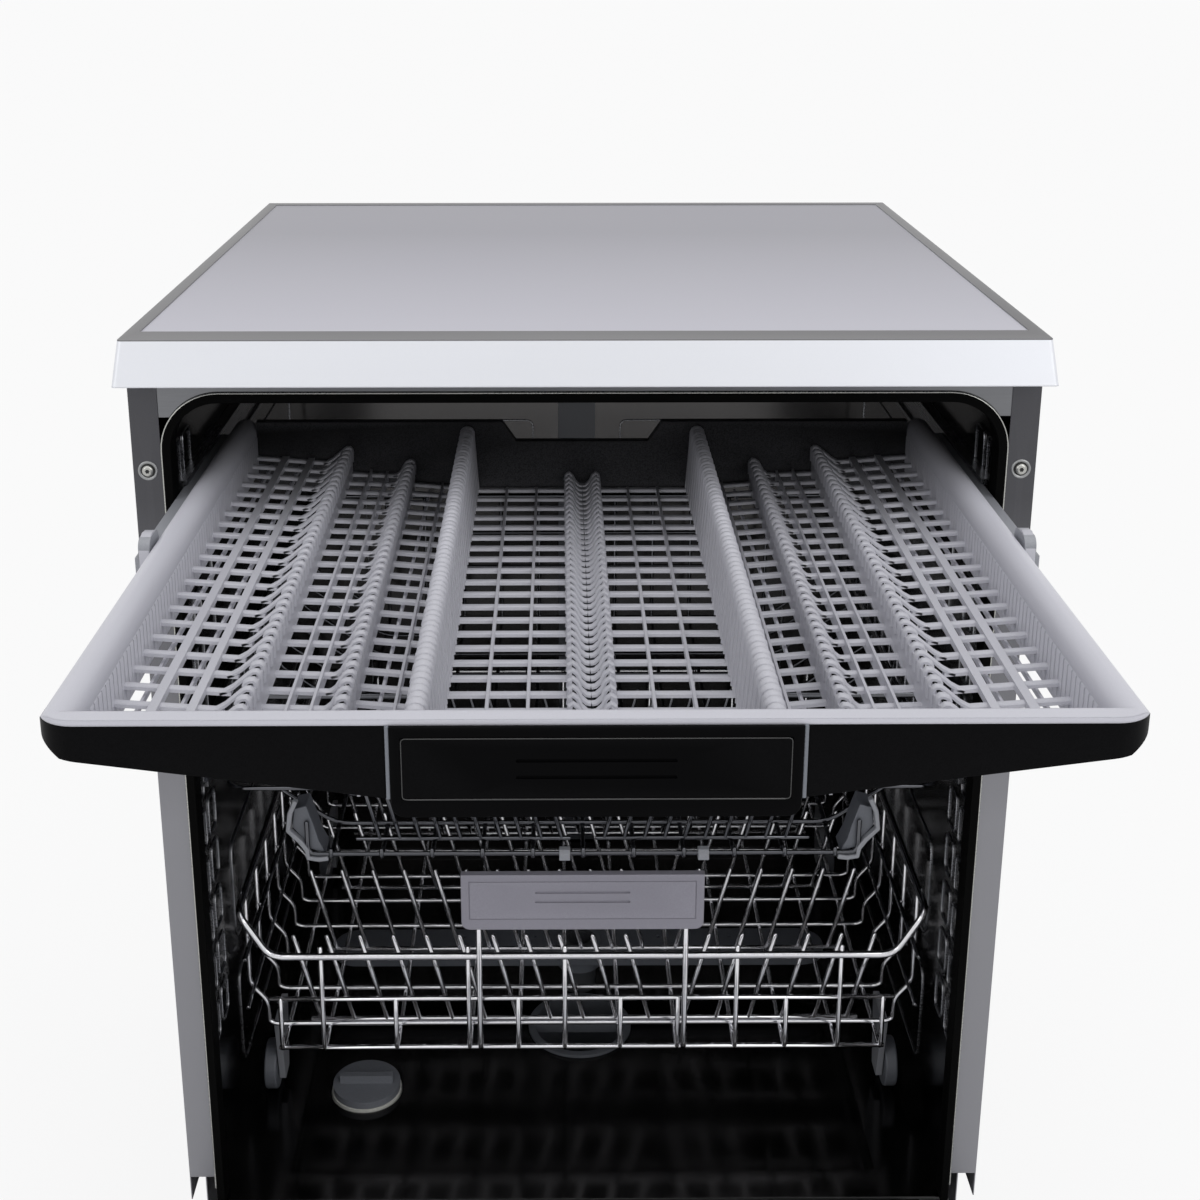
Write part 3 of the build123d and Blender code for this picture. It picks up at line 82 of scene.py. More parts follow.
class Nodes:
    """A short way to add and link the shader nodes of a material or of the world."""

    def __init__(self, owner):
        owner.use_nodes = True
        self.owner = owner
        self.tree = owner.node_tree
        self.shader = self.tree.nodes.get("Principled BSDF")

    def add(self, kind, **settings):
        node = self.tree.nodes.new("ShaderNode" + kind)
        for key, value in settings.items():
            setattr(node, key, value)
        return node

    def link(self, out, into):
        self.tree.links.new(out, into)

    def ramp(self, value, low, high, start, end):
        node = self.add("MapRange")
        self.link(value, node.inputs["Value"])
        limits = (("From Min", low), ("From Max", high), ("To Min", start), ("To Max", end))
        for key, number in limits:
            node.inputs[key].default_value = number
        return node.outputs["Result"]

    def mix(self, factor, one, two):
        node = self.add("Mix", data_type="RGBA")
        self.link(factor, node.inputs["Factor"])
        for key, colour in (("A", one), ("B", two)):
            socket = [s for s in node.inputs if s.name == key and s.type == "RGBA"][0]
            if isinstance(colour, tuple):
                socket.default_value = colour
            else:
                self.link(colour, socket)
        return [s for s in node.outputs if s.type == "RGBA"][0]

    def math(self, operation, one, two):
        node = self.add("Math", operation=operation)
        for socket, value in zip(node.inputs, (one, two)):
            if isinstance(value, (int, float)):
                socket.default_value = value
            else:
                self.link(value, socket)
        return node.outputs[0]

    def axes(self, kind="Object"):
        """X, Y and Z of a point, or of the direction that its face looks in."""
        split = self.add("SeparateXYZ")
        self.link(self.add("TexCoord").outputs[kind], split.inputs["Vector"])
        return split.outputs

    def by_depth(self, near, far, start, end):
        """A value that changes from front to back, between two places on the cabinet's Y."""
        return self.ramp(
            self.axes()["Y"], near / 1000 + shift_y, far / 1000 + shift_y, start, end
        )

    def by_height(self, low, high, start, end):
        """A value that changes from below to above, between two heights over the floor."""
        return self.ramp(self.axes()["Z"], low / 1000, high / 1000, start, end)

    def seen(self):
        """1 where the camera, a reflection or glass looks, and 0 where light is gathered."""
        rays = self.add("LightPath")
        seen = self.math("MAXIMUM", rays.outputs["Is Camera Ray"], rays.outputs["Is Glossy Ray"])
        return self.math("MAXIMUM", seen, rays.outputs["Is Transmission Ray"])


worn_lift = 1.5
coat_roughness = 0.12
bevel_samples = 4


def finish(
    name, colour, rough, metal=0.0, grain=700.0, stretch=(1, 1, 1), tone=0.05, mottle=9.0,
    bump=0.15, depth=0.0001, wear=0.25, worn=None, swing=0.06, coat=0.0, specular=0.5, edge=0.5,
    cells=0.0, change=None,
):
    """A surface with grain, broad tone, uneven gloss, fine relief and lighter worn edges.

    tone and swing say how far colour and roughness vary, cells adds spangle, depth is the
    relief's height in metres, edge the radius of rounded edges in millimetres, and change tones
    the base colour by place.
    """
    nodes = Nodes(bpy.data.materials.new(name))
    shader = nodes.shader
    colour = srgb(*colour)
    place = nodes.add("TexCoord").outputs["Object"]
    stretched = nodes.add("Mapping")
    stretched.inputs["Scale"].default_value = stretch
    nodes.link(place, stretched.inputs["Vector"])
    fine = nodes.add("TexNoise")
    fine.inputs["Scale"].default_value = grain
    fine.inputs["Detail"].default_value = 3.0
    nodes.link(stretched.outputs["Vector"], fine.inputs["Vector"])
    broad = nodes.add("TexNoise")
    broad.inputs["Scale"].default_value = mottle
    broad.inputs["Detail"].default_value = 2.0
    nodes.link(place, broad.inputs["Vector"])
    blend = nodes.math("ADD", fine.outputs["Fac"], broad.outputs["Fac"])
    if cells:
        spangle = nodes.add("TexVoronoi")
        spangle.inputs["Scale"].default_value = cells
        nodes.link(place, spangle.inputs["Vector"])
        blend = nodes.math("ADD", blend, nodes.math("MULTIPLY", spangle.outputs["Color"], 0.5))
    factor = nodes.ramp(blend, 0.7, 1.3, 0.0, 1.0)
    base = nodes.mix(factor, scaled(colour, 1 - tone), scaled(colour, 1 + tone))
    if change:
        base = change(nodes, base)
    if wear:
        sharp = nodes.ramp(nodes.add("NewGeometry").outputs["Pointiness"], 0.52, 0.64, 0.0, wear)
        patches = nodes.ramp(fine.outputs["Fac"], 0.3, 0.6, 0.3, 1.0)
        paler = srgb(*worn) if worn else scaled(colour, worn_lift)
        base = nodes.mix(nodes.math("MULTIPLY", sharp, patches), base, paler)
    nodes.link(base, shader.inputs["Base Color"])
    gloss = nodes.ramp(blend, 0.6, 1.4, max(0.03, rough - swing), rough + swing)
    nodes.link(gloss, shader.inputs["Roughness"])
    relief = nodes.add("Bump")
    relief.inputs["Strength"].default_value = bump
    relief.inputs["Distance"].default_value = depth
    nodes.link(fine.outputs["Fac"], relief.inputs["Height"])
    if edge:
        rounded = nodes.add("Bevel", samples=bevel_samples)
        rounded.inputs["Radius"].default_value = edge / 1000
        nodes.link(rounded.outputs["Normal"], relief.inputs["Normal"])
    nodes.link(relief.outputs["Normal"], shader.inputs["Normal"])
    shader.inputs["Metallic"].default_value = metal
    shader.inputs["Specular IOR Level"].default_value = specular
    shader.inputs["Coat Weight"].default_value = coat
    shader.inputs["Coat Roughness"].default_value = coat_roughness
    return nodes.owner


tray_rear_face, tray_side_face = 146.5, 241.0
land_level = 849.5


def painted_rear_shade(nodes, base):
    """Painted shade: the tray's rear wall is dark, with weaker gloss, where its side walls and rim
    are light.
    """
    behind = nodes.by_depth(tray_rear_face - 0.3, tray_rear_face + 0.3, 0.0, 1.0)
    width = nodes.math("ABSOLUTE", nodes.axes()["X"], 0.0)
    low, high = (tray_side_face - 0.2) / 1000, (tray_side_face + 0.2) / 1000
    inside = nodes.ramp(width, low, high, 1.0, 0.0)
    dark = nodes.math("MULTIPLY", behind, inside)
    nodes.link(nodes.ramp(dark, 0.0, 1.0, 0.5, 0.08), nodes.shader.inputs["Specular IOR Level"])
    return nodes.mix(dark, base, srgb(9, 9, 10))


def painted_tub_shade(nodes, base):
    """Painted shade: the tray grows darker towards its rear, where it stands inside the tub."""
    return nodes.mix(nodes.by_depth(40, 147, 0.0, 0.62), base, srgb(70, 70, 74))


# Both painted shades of the tray: its dark rear wall and its darkening towards the rear.
def tray_painted_shades(nodes, base):
    return painted_rear_shade(nodes, painted_tub_shade(nodes, base))


def painted_front_light(nodes, base):
    """Painted light: the worktop panel is paler at its front than at its rear."""
    return nodes.mix(nodes.by_depth(20, 400, 0.7, 0.0), base, srgb(204, 203, 214))


def painted_flange_shade(nodes, base):
    """Painted shade: the front flanges are darker than the sides towards their top."""
    facing = nodes.ramp(nodes.axes("Normal")["Y"], -0.9, -0.6, 1.0, 0.0)
    above = nodes.by_height(500, 740, 0.0, 1.0)
    return nodes.mix(nodes.math("MULTIPLY", facing, above), base, srgb(64, 64, 68))


def darker_land(nodes, base):
    """The worktop frame's level land is darker than its slanted front."""
    level = nodes.by_height(land_level - 0.2, land_level + 0.2, 0.0, 1.0)
    return nodes.mix(level, base, srgb(74, 73, 77))


steel = dict(metal=1.0, wear=0.15)
wire = dict(grain=500, tone=0.06, bump=0.1, edge=0, **steel)
looks = {
    "cabinet_paint": dict(
        colour=(138, 138, 143), rough=0.36, metal=0.5, grain=1600, tone=0.04, bump=0.08, wear=0.1,
        change=painted_flange_shade,
    ),
    "rear_steel": dict(
        colour=(150, 152, 154), rough=0.42, grain=300, tone=0.08, cells=70, bump=0.1, **steel
    ),
    "base_plastic": dict(colour=(52, 53, 56), rough=0.55, grain=900, bump=0.3),
    "foot_plastic": dict(colour=(28, 28, 30), rough=0.5, grain=900, bump=0.3),
    "worktop_frame_plastic": dict(
        colour=(232, 234, 240), rough=0.34, metal=0.25, grain=2200, tone=0.015, mottle=3,
        bump=0.05, wear=0.1, edge=1.2, change=darker_land,
    ),
    "worktop_panel_laminate": dict(
        colour=(150, 149, 158), rough=0.45, grain=2600, tone=0.06, mottle=4, bump=0.25,
        depth=0.00005, wear=0.0, edge=0.4, change=painted_front_light,
    ),
    "crossbar_steel": dict(
        colour=(116, 117, 120), rough=0.34, grain=900, stretch=(0.04, 1, 1), tone=0.05, **steel
    ),
    # Painted shade: the tub's steel is far darker than bare stainless steel, standing in for the
    # shade inside the tub.
    "tub_steel": dict(
        colour=(70, 69, 69), rough=0.16, grain=1200, stretch=(1, 0.03, 1), tone=0.06, bump=0.1,
        **steel
    ),
    "seal_rubber": dict(
        colour=(5, 5, 5), rough=0.6, grain=500, bump=0.3, edge=1.0, specular=0.03
    ),
    "screw_zinc": dict(colour=(176, 176, 172), rough=0.28, grain=900, tone=0.1, **steel),
    "hinge_steel": dict(colour=(150, 151, 152), rough=0.35, grain=600, tone=0.08, **steel),
    "spring_steel": dict(colour=(120, 121, 124), rough=0.3, grain=800, tone=0.08, **steel),
    "rail_steel": dict(
        colour=(150, 151, 155), rough=0.28, grain=900, stretch=(1, 0.03, 1), tone=0.06, **steel
    ),
    "sump_plastic": dict(colour=(70, 72, 76), rough=0.5, grain=800, bump=0.3),
    "pump_plastic": dict(colour=(44, 45, 48), rough=0.5, grain=800, bump=0.3),
    "softener_plastic": dict(colour=(214, 214, 208), rough=0.5, grain=800, bump=0.2),
    "valve_plastic": dict(colour=(224, 224, 220), rough=0.45, grain=800, bump=0.2),
    "duct_plastic": dict(colour=(96, 99, 106), rough=0.42, grain=800, bump=0.2),
    "arm_plastic": dict(colour=(112, 116, 124), rough=0.4, grain=800, bump=0.2),
    "filter_plastic": dict(colour=(92, 95, 101), rough=0.45, grain=800, bump=0.2),
    "cap_plastic": dict(colour=(118, 121, 128), rough=0.4, grain=800, bump=0.2),
    "door_paint": dict(
        colour=(172, 172, 178), rough=0.34, metal=0.5, grain=1600, tone=0.03, mottle=2, bump=0.06,
        wear=0.1, edge=1.0, swing=0.03,
    ),
    "liner_steel": dict(
        colour=(160, 161, 164), rough=0.28, grain=1500, stretch=(0.03, 1, 1), tone=0.03, mottle=2,
        bump=0.08, edge=1.5, swing=0.03, **steel
    ),
    "fascia_plastic": dict(
        colour=(24, 24, 26), rough=0.32, grain=1100, bump=0.1, edge=1.2, specular=0.25
    ),
    "button_plastic": dict(
        colour=(186, 187, 191), rough=0.3, metal=0.6, grain=1100, bump=0.1
    ),
    "dispenser_plastic": dict(colour=(126, 129, 136), rough=0.4, grain=800, bump=0.2),
    # The tray's plastic takes painted shade at its rear wall and towards its rear.
    "tray_plastic": dict(
        colour=(200, 200, 209), rough=0.4, grain=1300, tone=0.03, bump=0.12, wear=0.08, edge=1.6,
        change=tray_painted_shades,
    ),
    "tray_black": dict(
        colour=(6, 6, 7), rough=0.42, grain=1500, tone=0.15, bump=0.12, wear=0.1,
        worn=(50, 50, 52), edge=0.6, specular=0.03,
    ),
    "basket_wire": dict(colour=(218, 218, 222), rough=0.12, **wire),
    "handle_plastic": dict(colour=(151, 149, 160), rough=0.42, grain=1100, bump=0.15),
    "rack_wire": dict(colour=(206, 206, 210), rough=0.14, **wire),
    "runner_plastic": dict(colour=(146, 148, 154), rough=0.4, grain=900, bump=0.2),
    "wheel_plastic": dict(colour=(104, 107, 114), rough=0.42, grain=900, bump=0.25),
    # From here on they are looks alone, not slots of the record.
    # tray_insert and tray_shade take painted shade that darkens towards the tray's rear.
    "tray_insert": dict(
        colour=(188, 188, 196), rough=0.42, grain=1300, tone=0.04, bump=0.12, wear=0.1, edge=0.35,
        change=painted_tub_shade,
    ),
    # Painted shade: a darker copy of the tray's grey, for the divider walls, as shade in the gaps
    # between the ribs.
    "tray_shade": dict(
        colour=(112, 112, 119), rough=0.46, grain=1300, tone=0.04, bump=0.12, wear=0, edge=0.35,
        change=painted_tub_shade,
    ),
    # Painted shade: a darker copy of the basket wire, for the upper basket's wires in the tub's
    # shade.
    "shaded_wire": dict(colour=(88, 89, 93), rough=0.14, **wire),
    # Painted shade: near black, for the gap round each screw head and for its socket.
    "painted_shade_black": dict(colour=(5, 5, 6), rough=0.6, grain=900, bump=0.2, edge=0, wear=0),
    "window_glass": dict(
        colour=(9, 9, 11), rough=0.08, grain=200, tone=0.1, bump=0.02, coat=0.6, wear=0,
        swing=0.02,
    ),
}
finishes = {name: finish(name, **look) for name, look in looks.items()}
cad_looks = {entry["node"]: entry["material_slot"] for entry in frame["record"]["subparts"]}
# The dispenser's lid and cap stand out from its body.
cad_looks.update(dispenser_lid="runner_plastic", rinse_aid_cap="wheel_plastic")
for node, look in cad_looks.items():
    part = cad_nodes[node]
    if not part.material_slots:
        part.data.materials.append(finishes[look])
    for holder in part.material_slots:
        holder.material = finishes[look]


# Pieces

smooth_turn, bevel_turn = 35, 40


def side_name(side):
    return "right" if side > 0 else "left"


def span(side, x0, x1):
    """Two places across the machine, on its right side or mirrored to its left."""
    return sorted((side * x0, side * x1))


def settle(made, slot, body, stands_for=(), look=None):
    """Puts a new piece in the scene, on its body, with its finish."""
    bpy.context.scene.collection.objects.link(made)
    made.data.materials.append(finishes[look or slot])
    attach(made, body)
    if stands_for:
        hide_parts(*stands_for)
    return made


class Form:
    """Closed solids gathered into one mesh."""

    def __init__(self):
        self.mesh = bmesh.new()

    def skin(self, rings):
        """A closed skin through rings of points, with a cap at each end."""
        made = [[self.mesh.verts.new(mm(*point)) for point in ring] for ring in rings]
        for one, two in zip(made, made[1:]):
            for i in range(len(one)):
                j = (i + 1) % len(one)
                self.mesh.faces.new((one[i], one[j], two[j], two[i]))
        self.mesh.faces.new(made[0])
        self.mesh.faces.new(made[-1][::-1])

    def along_x(self, outline, x0, x1):
        self.skin([[(x, y, z) for y, z in outline] for x in (x0, x1)])

    def along_y(self, outline, y0, y1):
        self.skin([[(x, y, z) for x, z in outline] for y in (y0, y1)])

    def along_z(self, outline, z0, z1):
        self.skin([[(x, y, z) for x, y in outline] for z in (z0, z1)])

    def box(self, x0, x1, y0, y1, z0, z1):
        self.along_z([(x0, y0), (x1, y0), (x1, y1), (x0, y1)], z0, z1)

    def data(self, name):
        """The gathered mesh, its faces turned outwards."""
        bmesh.ops.recalc_face_normals(self.mesh, faces=self.mesh.faces)
        data = bpy.data.meshes.new(name)
        self.mesh.to_mesh(data)
        self.mesh.free()
        return data

    def piece(self, name, slot, body, stands_for=(), look=None, bevel=0.0):
        data = self.data(name)
        for face in data.polygons:
            face.use_smooth = True
        data.set_sharp_from_angle(angle=math.radians(smooth_turn))
        made = bpy.data.objects.new(name, data)
        if bevel:
            rounding = made.modifiers.new("edges", "BEVEL")
            rounding.width = bevel / 1000
            rounding.segments = 2
            rounding.limit_method = "ANGLE"
            rounding.angle_limit = math.radians(bevel_turn)
            rounding.harden_normals = True
        return settle(made, slot, body, stands_for, look)


def evaluated_mesh(made):
    """The mesh of an object with its modifiers or its curve worked out."""
    bpy.context.view_layer.update()
    graph = bpy.context.evaluated_depsgraph_get()
    return bpy.data.meshes.new_from_object(made.evaluated_get(graph))


def strip(path, thick):
    """The outline of a bent strip round a path in a plane."""
    left, right = [], []
    for i, point in enumerate(path):
        before, after = path[max(i - 1, 0)], path[min(i + 1, len(path) - 1)]
        across, up = after[0] - before[0], after[1] - before[1]
        length = math.hypot(across, up)
        offset = (-up / length * thick / 2, across / length * thick / 2)
        left.append((point[0] + offset[0], point[1] + offset[1]))
        right.append((point[0] - offset[0], point[1] - offset[1]))
    return left + right[::-1]


def bent(points, radius, closed=False, steps=4):
    """A path whose corners are turned in a curve, as a wire is bent."""
    points = [Vector(point) for point in points]
    count = len(points)
    path = []
    for i, here in enumerate(points):
        if not closed and i in (0, count - 1):
            path.append(here)
            continue
        before, after = points[i - 1], points[(i + 1) % count]
        back, ahead = before - here, after - here
        reach = min(radius, back.length * 0.45, ahead.length * 0.45)
        start, end = here + back.normalized() * reach, here + ahead.normalized() * reach
        for step in range(steps + 1):
            t = step / steps
            path.append(start * (1 - t) ** 2 + here * 2 * t * (1 - t) + end * t * t)
    return path


def wire_curve(name, paths, sides=3):
    """Round wires. Each path is (points, radius, closed), and open ends are rounded off."""
    data = bpy.data.curves.new(name, "CURVE")
    data.dimensions = "3D"
    data.bevel_depth = 0.001
    data.bevel_resolution = sides
    data.use_fill_caps = True
    for points, radius, closed in paths:
        points = [Vector(point) for point in points]
        sizes = [radius] * len(points)
        if not closed:
            first = (points[0] - points[1]).normalized() * radius * 0.6
            last = (points[-1] - points[-2]).normalized() * radius * 0.6
            points = [points[0] + first] + points + [points[-1] + last]
            sizes = [radius * 0.55] + sizes + [radius * 0.55]
        spline = data.splines.new("POLY")
        spline.points.add(len(points) - 1)
        spline.use_cyclic_u = closed
        for place, point, size in zip(spline.points, points, sizes):
            place.co = (*mm(*point), 1.0)
            place.radius = size
    return bpy.data.objects.new(name, data)


def wires(name, paths, slot, body, stands_for=(), look=None, sides=3):
    return settle(wire_curve(name, paths, sides), slot, body, stands_for, look)


def spread(first, last, pitch):
    """Even places from first to last, as near to the pitch as fits."""
    count = max(1, round((last - first) / pitch))
    return [first + (last - first) * i / count for i in range(count + 1)]


def mirrored(points):
    return [(-x, y, z) for x, y, z in points]


# Cutlery tray: its inserts, with their combs, dividers and bars

bar_rows = spread(-316.6, 145.2, 21)
insert_front, insert_rear, edge_front = -319.5, 146.6, -339.4
half_bar, bar_depth = 2.3, 2.8
bar_shape = (
    (-1, -bar_depth), (-1, -0.9), (-0.72, -0.2), (-0.3, 0), (0.3, 0), (0.72, -0.2), (1, -0.9),
    (1, -bar_depth),
)
finger_shape = (
    (-0.5, -0.5), (-0.5, 0.1), (-0.3, 0.45), (0, 0.55), (0.3, 0.45), (0.5, 0.1), (0.5, -0.5),
)
side_inner, side_outer = 86.5, 240.6
inner_low, inner_high, outer_low, outer_high = 701.5, 713.5, 721.5, 725.5
comb_x, crest_z, small_comb_x, small_crest_z = 172.0, 733.0, 126.0, 723.0
divider_x, divider_z, divider_pitch = 84.8, 743.2, 7.2
braid_r, braid_steps, braid_degrees = 3.9, 6, 165
centre_level, edge_top = 700, 738
centre_bar, centre_ribs, half_rib = (12, 79), (34, 56), 0.9
spine_inner, spine_outer, spine_pitch = 10.2, 12.2, 10.5


def bar_ring(x, y, z):
    """The round-edged section of a bar that runs across the tray."""
    return [(x, y + across * half_bar, z + up) for across, up in bar_shape]


def finger(form, side, path, y, widths, thick):
    """A moulded finger that follows a path in X and Z, with a crowned outer face."""
    rings = []
    if isinstance(widths, (int, float)):
        widths = [widths] * len(path)
    for i, ((x, z), width) in enumerate(zip(path, widths)):
        before, after = path[max(i - 1, 0)], path[min(i + 1, len(path) - 1)]
        across, up = after[0] - before[0], after[1] - before[1]
        length = math.hypot(across, up)
        nx, nz = -up / length, across / length
        rings.append([
            (side * (x + nx * out * thick), y + dy * width, z + nz * out * thick)
            for dy, out in finger_shape
        ])
    form.skin(rings)


def tooth(x, top, reach, level):
    """A comb tooth in section: up the wall's inner side, over its crest and down outside."""
    path = [
        (x - 1.2, top - 12), (x - 1.5, top - 5), (x - 1.2, top - 2.2), (x + 0.2, top - 1.0),
        (x + 2.2, top - 1.1),
    ]
    if reach:
        return path + [
            (x + 4.6, top - 2.6), (x + reach * 0.75, level + 2.0), (x + reach, level - 0.4),
            (x + reach + 3, level - 1.4),
        ]
    return path + [(x + 4.2, top - 2.2), (x + 5.2, top - 4.6)]


def comb(form, side, x, foot, top, reach, level):
    """A wall along the tray with curled teeth; every second one runs on as a finger to a bar."""
    form.box(*span(side, x - 1.3, x + 1.1), insert_front, insert_rear, foot, top - 4.5)
    pitch = bar_rows[1] - bar_rows[0]
    for i, y in enumerate(bar_rows):
        finger(form, side, tooth(x, top, reach, level), y, 4.6, 2.2)
        if i + 1 < len(bar_rows):
            finger(form, side, tooth(x, top, 0, 0), y + pitch / 2, 5.2, 2.4)


def front_edge(form, side, x0, x1, foot):
    """The upturned front edge of an insert, behind the tray's front rim."""
    form.along_x(
        [
            (edge_front, edge_top), (edge_front, edge_top - 6), (insert_front - 1, foot - 1.5),
            (insert_front + 3.4, foot - 1.5), (insert_front + 3.4, foot + 0.8),
            (insert_front, foot + 1.2), (edge_front + 2.4, edge_top),
        ],
        *span(side, x0, x1),
    )


def tray_side(side, name, node):
    """A sloping side insert: three steps of bars, two combs, and ribs along the tray."""
    form = Form()
    for y in bar_rows:
        for x0, z0, x1, z1 in (
            (side_inner, inner_low, small_comb_x, inner_low + 3.5),
            (small_comb_x + 9, inner_high - 2.0, comb_x, inner_high - 0.6),
            (comb_x + 14, outer_low, side_outer, outer_high),
        ):
            form.skin([bar_ring(side * x0, y, z0), bar_ring(side * x1, y, z1)])
    comb(form, side, comb_x, inner_low + 7, crest_z, 17.0, outer_low)
    comb(form, side, small_comb_x, inner_low - 2, small_crest_z, 11.5, inner_high - 2.0)
    for x, wide, high, tall in (
        (104, 1.6, inner_low + 2.8, 7), (145, 1.5, inner_high - 0.2, 9),
        (157, 1.5, inner_high + 1.4, 9), (201, 4.6, outer_low + 2.2, 4),
        (220, 5.0, outer_low + 3.4, 4), (95, 1.6, inner_low - 3, 3), (114, 1.6, inner_low - 3, 3),
        (210, 1.6, outer_low - 4, 3), (231, 1.6, outer_low - 3, 3),
    ):
        middle = side * x
        form.box(
            middle - wide / 2, middle + wide / 2, insert_front, insert_rear, high - tall, high
        )
    front_edge(form, side, side_inner - 0.1, small_comb_x, inner_low)
    front_edge(form, side, small_comb_x, comb_x, inner_high - 1.5)
    front_edge(form, side, comb_x, side_outer, outer_low + 1.5)
    return form.piece(name, "tray_plastic", "cutlery_tray", [node], "tray_insert")


def divider(side, form, wall):
    """A tall divider: a plain wall, and ribs that wrap over its top like a braid."""
    section = [(81.2, 698), (86.0, 698), (87.6, 738.5), (84.8, 743.4), (83.2, 739)]
    wall.along_y([(side * x, z) for x, z in section], edge_front, insert_rear)
    around = [(78.2, 700.5), (79.8, 722), (80.9, 739)]
    for step in range(braid_steps + 1):
        angle = math.radians(braid_degrees - braid_degrees * step / braid_steps)
        around.append(
            (divider_x + braid_r * math.cos(angle), divider_z + braid_r * math.sin(angle))
        )
    around += [(divider_x + 3.5, divider_z - 3.5), (divider_x + 2.2, divider_z - 6)]
    for i, y in enumerate(spread(-335.9, insert_rear - 3.7, divider_pitch)):
        odd = i % 2
        rib = around[:-2] if odd else around
        widths = [3.4, 3.5, 3.8, 5.0] + [5.8 if odd else 6.6] * (len(rib) - 4)
        finger(form, side, rib, y, widths, 2.6 if odd else 3.2)


def tray_centre():
    """The middle insert: bars, a spine of curled fingers, and a divider at each side."""
    form = Form()
    wall = Form()
    curl = [
        (0.2, 703.2), (2.5, 703.6), (5.5, 706.5), (7.6, 711.0), (10.0, 713.0), (12.0, 711.4),
        (12.6, 707.5),
    ]
    for side in (-1, 1):
        divider(side, form, wall)
        for y in bar_rows:
            form.skin([bar_ring(side * x, y, centre_level) for x in centre_bar])
        form.box(
            *span(side, spine_inner, spine_outer), insert_front, insert_rear, centre_level - 3,
            centre_level + 8,
        )
        for y in spread(insert_front + 4, insert_rear - 4, spine_pitch):
            finger(form, side, curl, y, 4.4, 2.0)
        for x in centre_ribs:
            form.box(
                *span(side, x - half_rib, x + half_rib), insert_front, insert_rear,
                centre_level - 4.2, centre_level + 0.6,
            )
        front_edge(form, side, 0, 86, centre_level)
    # The divider walls take the darker grey, painted shade between the ribs.
    wall.piece("tray_divider_walls", "tray_plastic", "cutlery_tray", look="tray_shade")
    return form.piece(
        "tray_centre_insert", "tray_plastic", "cutlery_tray", ["tray_floor_centre"], "tray_insert"
    )


tray_side(-1, "tray_left_insert", "tray_floor_left")
tray_side(1, "tray_right_insert", "tray_floor_right")
tray_centre()

# Cutlery tray: upright fluting inside its side walls, shorter near the front

flute_face, flute_root, flute_foot, flute_top = 240.5, 241.4, 714, 741
flute_front, flute_rear, flute_pitch, half_flute = -326, 144, 7, 3.1
slope_start, slope = -330, 0.6

fluting = Form()
for side in (-1, 1):
    for y in spread(flute_front, flute_rear, flute_pitch):
        foot = max(flute_foot, flute_top - (y - slope_start) * slope)
        section = [
            (flute_root, foot), (flute_face, foot + 1), (flute_face, flute_top - 2),
            (flute_root, flute_top),
        ]
        fluting.along_y([(side * x, z) for x, z in section], y - half_flute, y + half_flute)
fluting.piece("tray_wall_fluting", "tray_plastic", "cutlery_tray")


# Handle panels with their grooves, for the cutlery tray and the lower basket

panel_corner, corner_steps = 6.5, 5
groove_depth, outline_depth, cut_reach = 1.2, 0.5, 2
half_groove, outline_width, groove_end = 0.9, 0.6, 0.6


def rounded_foot(half, foot, top):
    """A panel's outline in X and Z with rounded lower corners."""
    points = [(-half, top)]
    for middle, start in ((-half + panel_corner, 180), (half - panel_corner, 270)):
        for step in range(corner_steps + 1):
            angle = math.radians(start + 90 * step / corner_steps)
            x = middle + panel_corner * math.cos(angle)
            points.append((x, foot + panel_corner + panel_corner * math.sin(angle)))
    points.append((half, top))
    return points


def panel(name, slot, body, node, half, foot, top, front, back, grooves, outline):
    """A handle panel whose front is cut by level grooves, given as (z, half length), and by an
    outline groove, given as (half width, foot, top)."""
    solid = Form()
    solid.along_y(rounded_foot(half, foot, top), front, back)
    made = solid.piece(name, slot, body, [node], bevel=0.5)
    cutter = Form()
    for z, reach in grooves:
        end = reach - groove_end
        cutter.along_y(
            [
                (-reach, z - 0.6), (-end, z - half_groove), (end, z - half_groove),
                (reach, z - 0.6), (end, z + half_groove), (-end, z + half_groove),
            ],
            front - cut_reach, front + groove_depth,
        )
    wide, low, high = outline
    for x0, x1, z0, z1 in (
        (-wide, wide, low, low + outline_width), (-wide, wide, high - outline_width, high),
        (-wide, -wide + outline_width, low, high), (wide - outline_width, wide, low, high),
    ):
        cutter.box(x0, x1, front - cut_reach, front + outline_depth, z0, z1)
    tool = bpy.data.objects.new(name + "_cut", cutter.data(name + "_cut"))
    bpy.context.scene.collection.objects.link(tool)
    cut = made.modifiers.new("grooves", "BOOLEAN")
    cut.operation = "DIFFERENCE"
    cut.object = tool
    cut.solver = "EXACT"
    cut.use_self = True
    applied = evaluated_mesh(made)
    made.modifiers.clear()
    made.data = applied
    bpy.data.objects.remove(tool)
    return made


# Cutlery tray: its grip and the two clips at its sides

grip_front, grip_back = -352, -349.3
grip_half, grip_foot, grip_top, grip_shelf = 95, 702, 748, 711
glint_half, glint_foot, glint_top = 89.6, 711.4, 742.2
grip_lip_half, grip_lip_rear, grip_lip_foot, grip_lip_top = 87, -336, 703, 706

